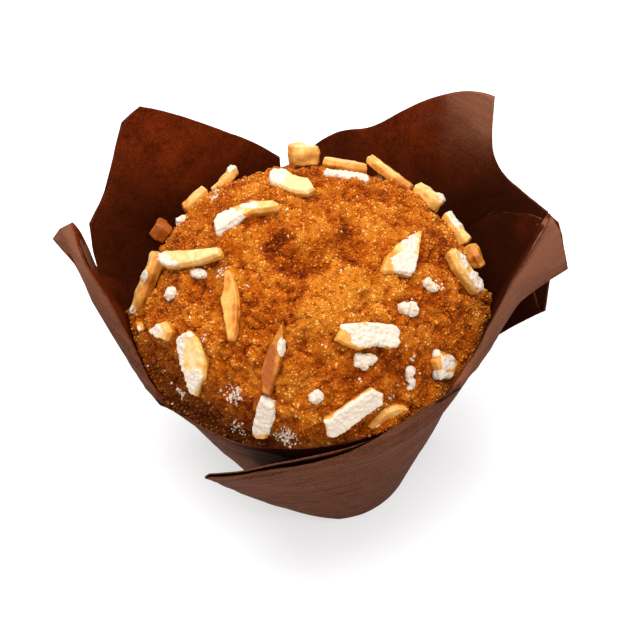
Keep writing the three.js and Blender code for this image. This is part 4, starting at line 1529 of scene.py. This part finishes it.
SLIVERS = {
    "top_left": Sliver(
        toast=0.12,
        sugar=(Patch(0.12, 0.35, 0.33, 0.62), Patch(0.52, 0.9, 0.2, 0.12)),
        browned_and_shaded=(Patch(0.62, 0.4, 0.3, 0.25),),
        cover=Cover.ALL,
    ),
    "top_back": Sliver(toast=-0.1, sugar=(Patch(0.16, 0.75, 0.26, 0.34),)),
    "left_bar": Sliver(
        toast=0.02,
        sugar=(Patch(0.06, 0.5, 0.12, 0.4), Patch(0.22, 0.28, 0.1, 0.16)),
    ),
    "left_leaning": Sliver(
        toast=0.22,
        sugar=(Patch(0.1, 0.08, 0.14, 0.07), Patch(0.45, 0.62, 0.12, 0.1)),
        browned_and_shaded=(Patch(0.7, 0.3, 0.4, 0.3),),
        lumpy=0.6,
    ),
    "left_upright": Sliver(
        toast=0.34,
        browned_and_shaded=(Patch(0.75, 0.35, 0.2, 0.3), Patch(0.3, 0.8, 0.2, 0.12)),
    ),
    "left_broad": Sliver(
        toast=0.0,
        sugar=(
            Patch(0.1, 0.78, 0.17, 0.24),
            Patch(0.3, 0.98, 0.4, 0.09),
            Patch(0.42, 0.24, 0.42, 0.2),
            Patch(0.12, 0.45, 0.12, 0.3),
        ),
    ),
    "left_chip": Sliver(
        toast=0.05,
        sugar=(Patch(0.15, 0.6, 0.34, 0.5),),
        browned_and_shaded=(Patch(0.85, 0.4, 0.25, 0.4),),
    ),
    "front_pointed": Sliver(
        toast=0.68,
        sugar=(Patch(0.85, 0.68, 0.16, 0.14),),
        browned_and_shaded=(Patch(0.3, 0.4, 0.3, 0.3),),
        cover=Cover.ALL,
    ),
    "front_low": Sliver(toast=0.3, sugar=(Patch(0.5, 0.56, 0.8, 0.52),), cover=Cover.ALL),
    "back_left_high": Sliver(toast=0.0, sugar=(Patch(0.8, 0.9, 0.25, 0.2),), lumpy=0.6),
    "back_left_low": Sliver(
        toast=0.1,
        sugar=(Patch(0.75, 0.6, 0.25, 0.3),),
        browned_and_shaded=(Patch(0.1, 0.4, 0.2, 0.5),),
        lumpy=0.6,
    ),
    "back_left_cube": Sliver(toast=0.95, sugar=(Patch(0.9, 0.3, 0.12, 0.2),), lumpy=0.6),
    "back_knob": Sliver(toast=0.0, browned_and_shaded=(Patch(0.05, 0.7, 0.2, 0.4),), lumpy=1.1),
    "back_bar": Sliver(toast=0.2, browned_and_shaded=(Patch(0.2, 0.3, 0.3, 0.3),)),
    "back_flat": Sliver(toast=0.1, sugar=(Patch(0.5, 0.5, 0.9, 0.9),), cover=Cover.ALL),
    "back_right_pointed": Sliver(toast=0.12, browned_and_shaded=(Patch(0.7, 0.2, 0.3, 0.2),)),
    "back_right_knob": Sliver(
        toast=-0.05,
        sugar=(Patch(0.85, 0.3, 0.2, 0.4), Patch(0.35, 0.7, 0.15, 0.15)),
        lumpy=0.9,
    ),
    "right_wedge": Sliver(
        toast=0.12,
        sugar=(Patch(0.62, 0.25, 0.36, 0.3), Patch(0.72, 0.72, 0.22, 0.2)),
        browned_and_shaded=(Patch(0.2, 0.45, 0.2, 0.4),),
    ),
    "right_back_flat": Sliver(toast=-0.05, sugar=(Patch(0.3, 0.6, 0.42, 0.45),), lumpy=0.6),
    "right_curved": Sliver(
        toast=0.1,
        sugar=(Patch(0.8, 0.3, 0.26, 0.28), Patch(0.5, 0.78, 0.12, 0.2)),
    ),
    "right_nub": Sliver(
        toast=0.35,
        sugar=(Patch(0.6, 0.15, 0.2, 0.15),),
        browned_and_shaded=(Patch(0.7, 0.5, 0.3, 0.3),),
        lumpy=0.6,
    ),
    "front_right_broad": Sliver(
        toast=0.3,
        sugar=(Patch(0.66, 0.55, 0.42, 0.55), Patch(0.22, 0.85, 0.16, 0.25)),
        cover=Cover.ALL,
    ),
    "right_low_chunk": Sliver(
        toast=0.4,
        sugar=(
            Patch(0.62, 0.55, 0.26, 0.3),
            Patch(0.4, 0.12, 0.4, 0.16),
            Patch(0.2, 0.9, 0.2, 0.15),
        ),
        cover=Cover.ALL,
        lumpy=0.9,
    ),
    "front_bar": Sliver(toast=0.2, sugar=(Patch(0.55, 0.48, 0.9, 0.9),)),
    "front_tucked": Sliver(
        toast=0.15,
        sugar=(Patch(0.28, 0.15, 0.1, 0.12),),
        browned_and_shaded=(Patch(0.3, 0.3, 0.4, 0.2),),
    ),
    "left_rim_chip": Sliver(toast=0.45, sugar=(Patch(0.3, 0.5, 0.2, 0.2),), lumpy=0.6),
}


@dataclass
class Almonds:
    """The slivers of almond, each worked up from its CAD node.

    Sizes are in millimetres and the slope in degrees. A span is the pair of values between
    which something fades, and a share is a strength.
    """

    nodes: dict[str, Piece]
    dome: Dome
    finish: AlmondFinish = field(default_factory=AlmondFinish)
    face: float = 0.24
    ragged_size: float = 2.4
    chip_size: float = 1.8
    chip_rise: float = 0.14
    crust_size: float = 0.9
    crust_rise: float = 0.32
    bulge_size: float = 3.4
    slope: float = 48.0
    middle_drop: float = 12.0
    patch_span: Pair = (0.65, 1.2)
    patch_ragged: float = 0.35
    top_span: Pair = (0.05, 0.55)
    top_ragged: float = 0.2
    browned_and_shaded_share: float = 0.28
    # Tan on faces turned away from the dome's outside: toasting with painted shade.
    side_toast_and_shade_share: float = 0.3
    side_toast_and_shade_span: Pair = (0.0, 0.7)

    def build(self) -> list[Piece]:
        """Makes every sliver.

        Returns:
            The finished pieces, in the order of the table.
        """
        material = self.finish.material()
        plans = enumerate(SLIVERS.items())
        return [self.sliver(name, plan, material, seed) for seed, (name, plan) in plans]

    def outline(self, places: Array) -> Array:
        """Where each place lies in the sliver's outline, seen down a slope from the front.

        Args:
            places: The sliver's places in millimetres.

        Returns:
            Its shares of the outline's width and height, 0 to 1.
        """
        slope = math.radians(self.slope)
        flat = np.column_stack(
            [places[:, 0], places[:, 1] * math.sin(slope) + places[:, 2] * math.cos(slope)]
        )
        low = flat.min(axis=0)
        return (flat - low) / (flat.max(axis=0) - low)

    def spread(self, shares: Array, patches: Iterable[Patch], ragged: Array) -> Array:
        """How far inside any of the patches each place lies.

        Args:
            shares: The places' shares of the outline.
            patches: The patches.
            ragged: Noise for their edges.

        Returns:
            0 outside to 1 well inside.
        """
        total = np.zeros(len(shares))
        for patch in patches:
            off = (shares - (patch.across, patch.upward)) / (patch.wide, patch.high)
            away = np.linalg.norm(off, axis=1) + self.patch_ragged * ragged
            total = np.maximum(total, 1 - ease(*self.patch_span, away))
        return total

    def sliver(self, name: str, plan: Sliver, material: Material, seed: int) -> Piece:
        """Makes one sliver.

        Args:
            name: The sliver's name, without almond_.
            plan: Its sugar and colour.
            material: The shared finish.
            seed: Number for its own pattern.

        Returns:
            The finished piece.
        """
        node = self.nodes[f"almond_{name}"]
        mesh = remeshed(merged_copy(node), self.face, 1)
        places = mesh_points(mesh)
        normals = mesh_normals(mesh)
        out = places.mean(axis=0) - (*self.dome.lean, self.dome.level - self.middle_drop)
        out /= np.linalg.norm(out)
        facing = normals @ out
        ragged = noise_at(places, self.ragged_size, seed + 0.5, 3)
        shares = self.outline(places)
        sugar = self.spread(shares, plan.sugar, ragged)
        if plan.cover is Cover.TOP:
            sugar = sugar * ease(*self.top_span, facing + self.top_ragged * ragged)
        chips = self.chip_rise * noise_at(places, self.chip_size, seed, 2)
        lumps = 0.6 + 0.9 * noise_at(places, self.crust_size, seed + 9.5, 2)
        lumps = self.crust_rise * sugar * lumps
        bulges = plan.lumpy * noise_at(places, self.bulge_size, seed + 4.5)
        set_points(mesh, places + normals * (chips + lumps + bulges)[:, None])
        add_attribute(mesh, "sugar", sugar)
        # Darker tan patches: toasting, and painted shade on sides turned from the light.
        browned_and_shaded = self.browned_and_shaded_share * self.spread(shares, plan.browned_and_shaded, ragged)
        # Sides turned away from the dome's outside are tan: toasting with painted shade.
        sides = self.side_toast_and_shade_share * (1 - ease(*self.side_toast_and_shade_span, facing))
        add_attribute(mesh, "toast", plan.toast + browned_and_shaded + sides)
        piece = new_object(f"sliver_{name}", mesh, material)
        settle(piece, [f"almond_{name}"])
        return piece


# Sugar.


@dataclass(frozen=True)
class Clump:
    """A clump of sugar on the dome.

    Attributes:
        azimuth: Where it lies, in degrees from +X.
        elevation: Where it lies, in degrees above the widest ring.
        heading: How its length is turned on the crust, in degrees.
        size: Its length, width and depth in millimetres.
    """

    azimuth: float
    elevation: float
    heading: float
    size: Triple


CLUMPS = {
    "broad": Clump(291, 35, -20, (6.4, 4.6, 2.6)),
    "right": Clump(319, 45, -35, (5.6, 4.2, 3.0)),
    "right_high": Clump(339, 43.5, -100, (5.0, 3.4, 2.4)),
    "right_long": Clump(306.7, 21, -108, (6.4, 2.8, 2.2)),
    "front": Clump(271, 24, 40, (4.0, 3.4, 2.4)),
    "left": Clump(195.5, 33, 50, (3.8, 3.6, 2.6)),
    "left_high": Clump(197, 47, 50, (5.2, 3.0, 2.0)),
    "left_back": Clump(150, 25, 8, (4.4, 3.0, 2.4)),
}


@dataclass
class SugarClumps:
    """White clumps of sugar, each grown from overlapping crumbs."""

    dome: Dome
    finish: SugarFinish = field(default_factory=SugarFinish)
    seed: int = 12
    face: float = 0.2
    rounds: int = 2
    crumbs: int = 8
    crumb_radius: float = 1.15
    crumb_share: Pair = (0.55, 0.9)
    crumb_flat: Pair = (0.7, 1.0)
    deepest: float = 1.4
    sink: float = 0.22
    rough: Layer = Layer(1.3, 4.0, 3, 0.3)

    def clump(self, plan: Clump, random: np.random.Generator) -> Array:
        """The broken crumbs that a clump is made of.

        Args:
            plan: The clump.
            random: Where the random numbers come from.

        Returns:
            Each crumb's middle and half sizes in millimetres, six numbers a crumb.
        """
        azimuth = math.radians(plan.azimuth)
        elevation = math.radians(plan.elevation)
        heading = math.radians(plan.heading)
        out = self.dome.normal(azimuth, elevation)
        around = np.array([-math.sin(azimuth), math.cos(azimuth), 0.0])
        upward = np.cross(out, around)
        along = around * math.cos(heading) + upward * math.sin(heading)
        across = np.cross(out, along)
        length, width, depth = plan.size
        base = self.dome.point(azimuth, elevation, depth * self.sink)
        rows = []
        for _ in range(self.crumbs):
            s, t = random.uniform(-0.5, 0.5, 2)
            size = random.uniform(*self.crumb_share) * min(width, depth * self.deepest)
            place = base + along * s * (length - size) + across * t * (width - size)
            flat = random.uniform(*self.crumb_flat)
            rows.append([*place, size / 2, size / 2, size / 2 * flat])
        return np.array(rows)

    def build(self) -> Piece:
        """Makes all the clumps.

        Returns:
            One finished piece.
        """
        random = np.random.default_rng(self.seed)
        shape = bmesh.new()
        for plan in CLUMPS.values():
            for row in self.clump(plan, random):
                turn = Euler(random.uniform(0, math.tau, 3)).to_matrix()
                crumb = bmesh.ops.create_icosphere(
                    shape, subdivisions=1, radius=self.crumb_radius
                )
                for vertex in crumb["verts"]:
                    corner = turn @ vertex.co
                    vertex.co = Vector((row[:3] + np.array(corner) * row[3:]) * MM)
        mesh = bpy.data.meshes.new("clumps")
        shape.to_mesh(mesh)
        shape.free()
        even = remeshed(mesh, self.face, self.rounds)
        places = mesh_points(even)
        set_points(even, places + mesh_normals(even) * self.rough.at(places)[:, None])
        piece = new_object("sugar_clumps", even, self.finish.material())
        settle(piece)
        return piece


class Kernel(Enum):
    """The shape of one loose grain."""

    LUMP = "a rounded lump of twenty faces"
    CHIP = "a small chip of eight faces"


@dataclass
class Grains:
    """Loose grains over the crust, scattered by Geometry Nodes.

    Attributes:
        crust: The finished muffin that they lie on.
        name: The piece's name.
        material: Their finish.
        density: How many lie on a square centimetre.
        smallest: Size of the smallest grain in millimetres.
        largest: Size of the largest.
        seed: Number for the scatter.
        cover: The crust's attribute that says where they lie.
        kernel: The shape of one grain.
    """

    crust: Piece
    name: str
    material: Material
    density: float
    smallest: float
    largest: float
    seed: int
    cover: str = "cover"
    kernel: Kernel = Kernel.LUMP

    def grain(self, tree: Tree) -> Socket:
        """One grain of width 1.

        Args:
            tree: The scatter's node tree.

        Returns:
            The socket that gives the grain's mesh.
        """
        if self.kernel is Kernel.LUMP:
            grain = add_node(tree, "GeometryNodeMeshIcoSphere")
            sizes = {"Subdivisions": 1, "Radius": 0.5}
        else:
            grain = add_node(tree, "GeometryNodeMeshUVSphere")
            sizes = {"Segments": 4, "Rings": 2, "Radius": 0.5}
        for label, value in sizes.items():
            grain.inputs[label].default_value = value
        return grain.outputs["Mesh"]

    def tree(self) -> Tree:
        """The scatter's node tree.

        Returns:
            The tree, with named inputs for its sizes.
        """
        tree = bpy.data.node_groups.new(f"{self.name}_scatter", "GeometryNodeTree")
        sizes = dict.fromkeys(("Density", "Smallest", "Largest"), "Float")
        inputs = {"Geometry": "Geometry"} | sizes | {"Seed": "Int"}
        for label, kind in inputs.items():
            tree.interface.new_socket(label, in_out="INPUT", socket_type=f"NodeSocket{kind}")
        tree.interface.new_socket("Geometry", in_out="OUTPUT", socket_type="NodeSocketGeometry")
        add = partial(add_node, tree)
        given = add("NodeGroupInput").outputs
        cover = add("GeometryNodeInputNamedAttribute", data_type="FLOAT")
        cover.inputs["Name"].default_value = self.cover
        density = add("ShaderNodeMath", operation="MULTIPLY")
        points = add("GeometryNodeDistributePointsOnFaces")
        size = add("FunctionNodeRandomValue", data_type="FLOAT_VECTOR")
        low = add("ShaderNodeCombineXYZ")
        high = add("ShaderNodeCombineXYZ")
        turn = add("FunctionNodeRandomValue", data_type="FLOAT_VECTOR")
        turn.inputs[1].default_value = (FULL_TURN,) * 3
        rotation = add("FunctionNodeEulerToRotation")
        placed = add("GeometryNodeInstanceOnPoints")
        tone = add("FunctionNodeRandomValue", data_type="FLOAT")
        store = add("GeometryNodeStoreNamedAttribute", data_type="FLOAT", domain="INSTANCE")
        store.inputs["Name"].default_value = "tone"
        real = add("GeometryNodeRealizeInstances")
        paint = add("GeometryNodeSetMaterial")
        paint.inputs["Material"].default_value = self.material
        wires = [
            (given["Density"], density.inputs[0]),
            (cover.outputs[0], density.inputs[1]),
            (given["Geometry"], points.inputs["Mesh"]),
            (density.outputs[0], points.inputs["Density"]),
            (given["Seed"], points.inputs["Seed"]),
            (low.outputs[0], size.inputs[0]),
            (high.outputs[0], size.inputs[1]),
            (given["Seed"], size.inputs["Seed"]),
            (turn.outputs[0], rotation.inputs[0]),
            (points.outputs["Points"], placed.inputs["Points"]),
            (self.grain(tree), placed.inputs["Instance"]),
            (rotation.outputs[0], placed.inputs["Rotation"]),
            (size.outputs[0], placed.inputs["Scale"]),
            (placed.outputs["Instances"], store.inputs["Geometry"]),
            (tone.outputs[1], store.inputs["Value"]),
            (store.outputs["Geometry"], real.inputs["Geometry"]),
            (real.outputs["Geometry"], paint.inputs["Geometry"]),
            (paint.outputs["Geometry"], add("NodeGroupOutput").inputs["Geometry"]),
        ]
        wires += [(given["Smallest"], low.inputs[axis]) for axis in range(3)]
        wires += [(given["Largest"], high.inputs[axis]) for axis in range(3)]
        for source, target in wires:
            tree.links.new(source, target)
        return tree

    def build(self) -> Piece:
        """Scatters the grains and makes them a plain mesh.

        Returns:
            The finished piece.
        """
        tree = self.tree()
        worker = linked("worker", self.crust.data.copy())
        scatter = worker.modifiers.new("scatter", "NODES")
        scatter.node_group = tree
        values = {
            "Density": self.density * PER_CM2,
            "Smallest": self.smallest * MM,
            "Largest": self.largest * MM,
            "Seed": self.seed,
        }
        for item in tree.interface.items_tree:
            if item.name in values:
                scatter[item.identifier] = values[item.name]
        piece = new_object(self.name, baked(worker), self.material)
        settle(piece)
        return piece


# Studio.


@dataclass(frozen=True)
class Lamp:
    """A square soft light: its place and width in metres and its power in watts."""

    name: str
    place: Triple
    width: float
    power: float

    def build(self, target: Triple) -> None:
        """Hangs the lamp.

        Args:
            target: What it shines at, in metres.
        """
        data = bpy.data.lights.new(self.name, "AREA")
        data.size = self.width
        data.energy = self.power
        aim(linked(self.name, data), self.place, target)


@dataclass
class Studio:
    """A plain white table, soft light and the camera."""

    lamps: tuple[Lamp, ...] = (
        Lamp("key", (-0.08, 0.12, 0.75), 0.75, 10.8),
        Lamp("fill", (0.2, -0.5, 0.55), 0.6, 2.1),
    )
    lit_point: Triple = (0.0, 0.0, 0.05)
    camera_place: Triple = (-0.00473, -0.39354, 0.49304)
    look_at: Triple = (-0.00473, 0.00794, 0.04715)
    lens: float = 137.4
    sensor: float = 36.0
    clip: Pair = (0.01, 20.0)
    floor_size: float = 6.0
    floor_glow: float = 0.5
    floor_grey: float = 0.54
    floor_rough: float = 0.9
    sky: float = 0.6

    def build(self) -> None:
        """Makes the floor, the lights and the camera."""
        scene = bpy.context.scene
        scene.view_settings.view_transform = "Standard"
        self.floor()
        world = bpy.data.worlds.new("studio")
        scene.world = world
        world.use_nodes = True
        background = world.node_tree.nodes["Background"]
        background.inputs["Color"].default_value = WHITE
        background.inputs["Strength"].default_value = self.sky
        for lamp in self.lamps:
            lamp.build(self.lit_point)
        camera = bpy.data.cameras.new("camera")
        camera.lens = self.lens
        camera.sensor_width = self.sensor
        camera.clip_start, camera.clip_end = self.clip
        scene.camera = linked("camera", camera)
        aim(scene.camera, self.camera_place, self.look_at)

    def floor(self) -> None:
        """The white table that the muffin stands on."""
        half = self.floor_size / 2
        corners = [(-half, -half, 0), (half, -half, 0), (half, half, 0), (-half, half, 0)]
        mesh = bpy.data.meshes.new("table")
        mesh.from_pydata(corners, [], [(0, 1, 2, 3)])
        shader = Shader("white_table")
        shader.surface.inputs["Emission Color"].default_value = WHITE
        shader.surface.inputs["Emission Strength"].default_value = self.floor_glow
        grey = (self.floor_grey,) * 3
        floor = new_object("table", mesh, shader.finish(grey, self.floor_rough, gloss=0.0))


# Main.


def main() -> None:
    """Builds the muffin piece by piece."""
    logging.basicConfig(level=logging.INFO, format="%(name)s: %(message)s")
    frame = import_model()
    dome = Dome()
    Studio().build()
    paper = PaperCase(frame["nodes"]["paper_case"], dome).build()
    crust = Crust(dome).build(surface_tree(paper.data))
    Almonds(frame["nodes"], dome).build()
    SugarClumps(dome).build()
    grain = GrainFinish().material()
    sugar = SugarFinish().material()
    coarse = Grains(
        crust, "crust_grains_coarse", grain, density=78.0, smallest=0.42, largest=0.92, seed=3
    )
    fine = Grains(
        crust, "crust_grains_fine", grain, density=168.0, smallest=0.27, largest=0.58, seed=4
    )
    dust = Grains(crust, "sugar_dust", sugar, density=620.0, smallest=0.3, largest=1.0, seed=5)
    fine.kernel = Kernel.CHIP
    dust.cover = "dust"
    for scatter in (coarse, fine, dust):
        scatter.build()


if __name__ == "__main__":
    main()
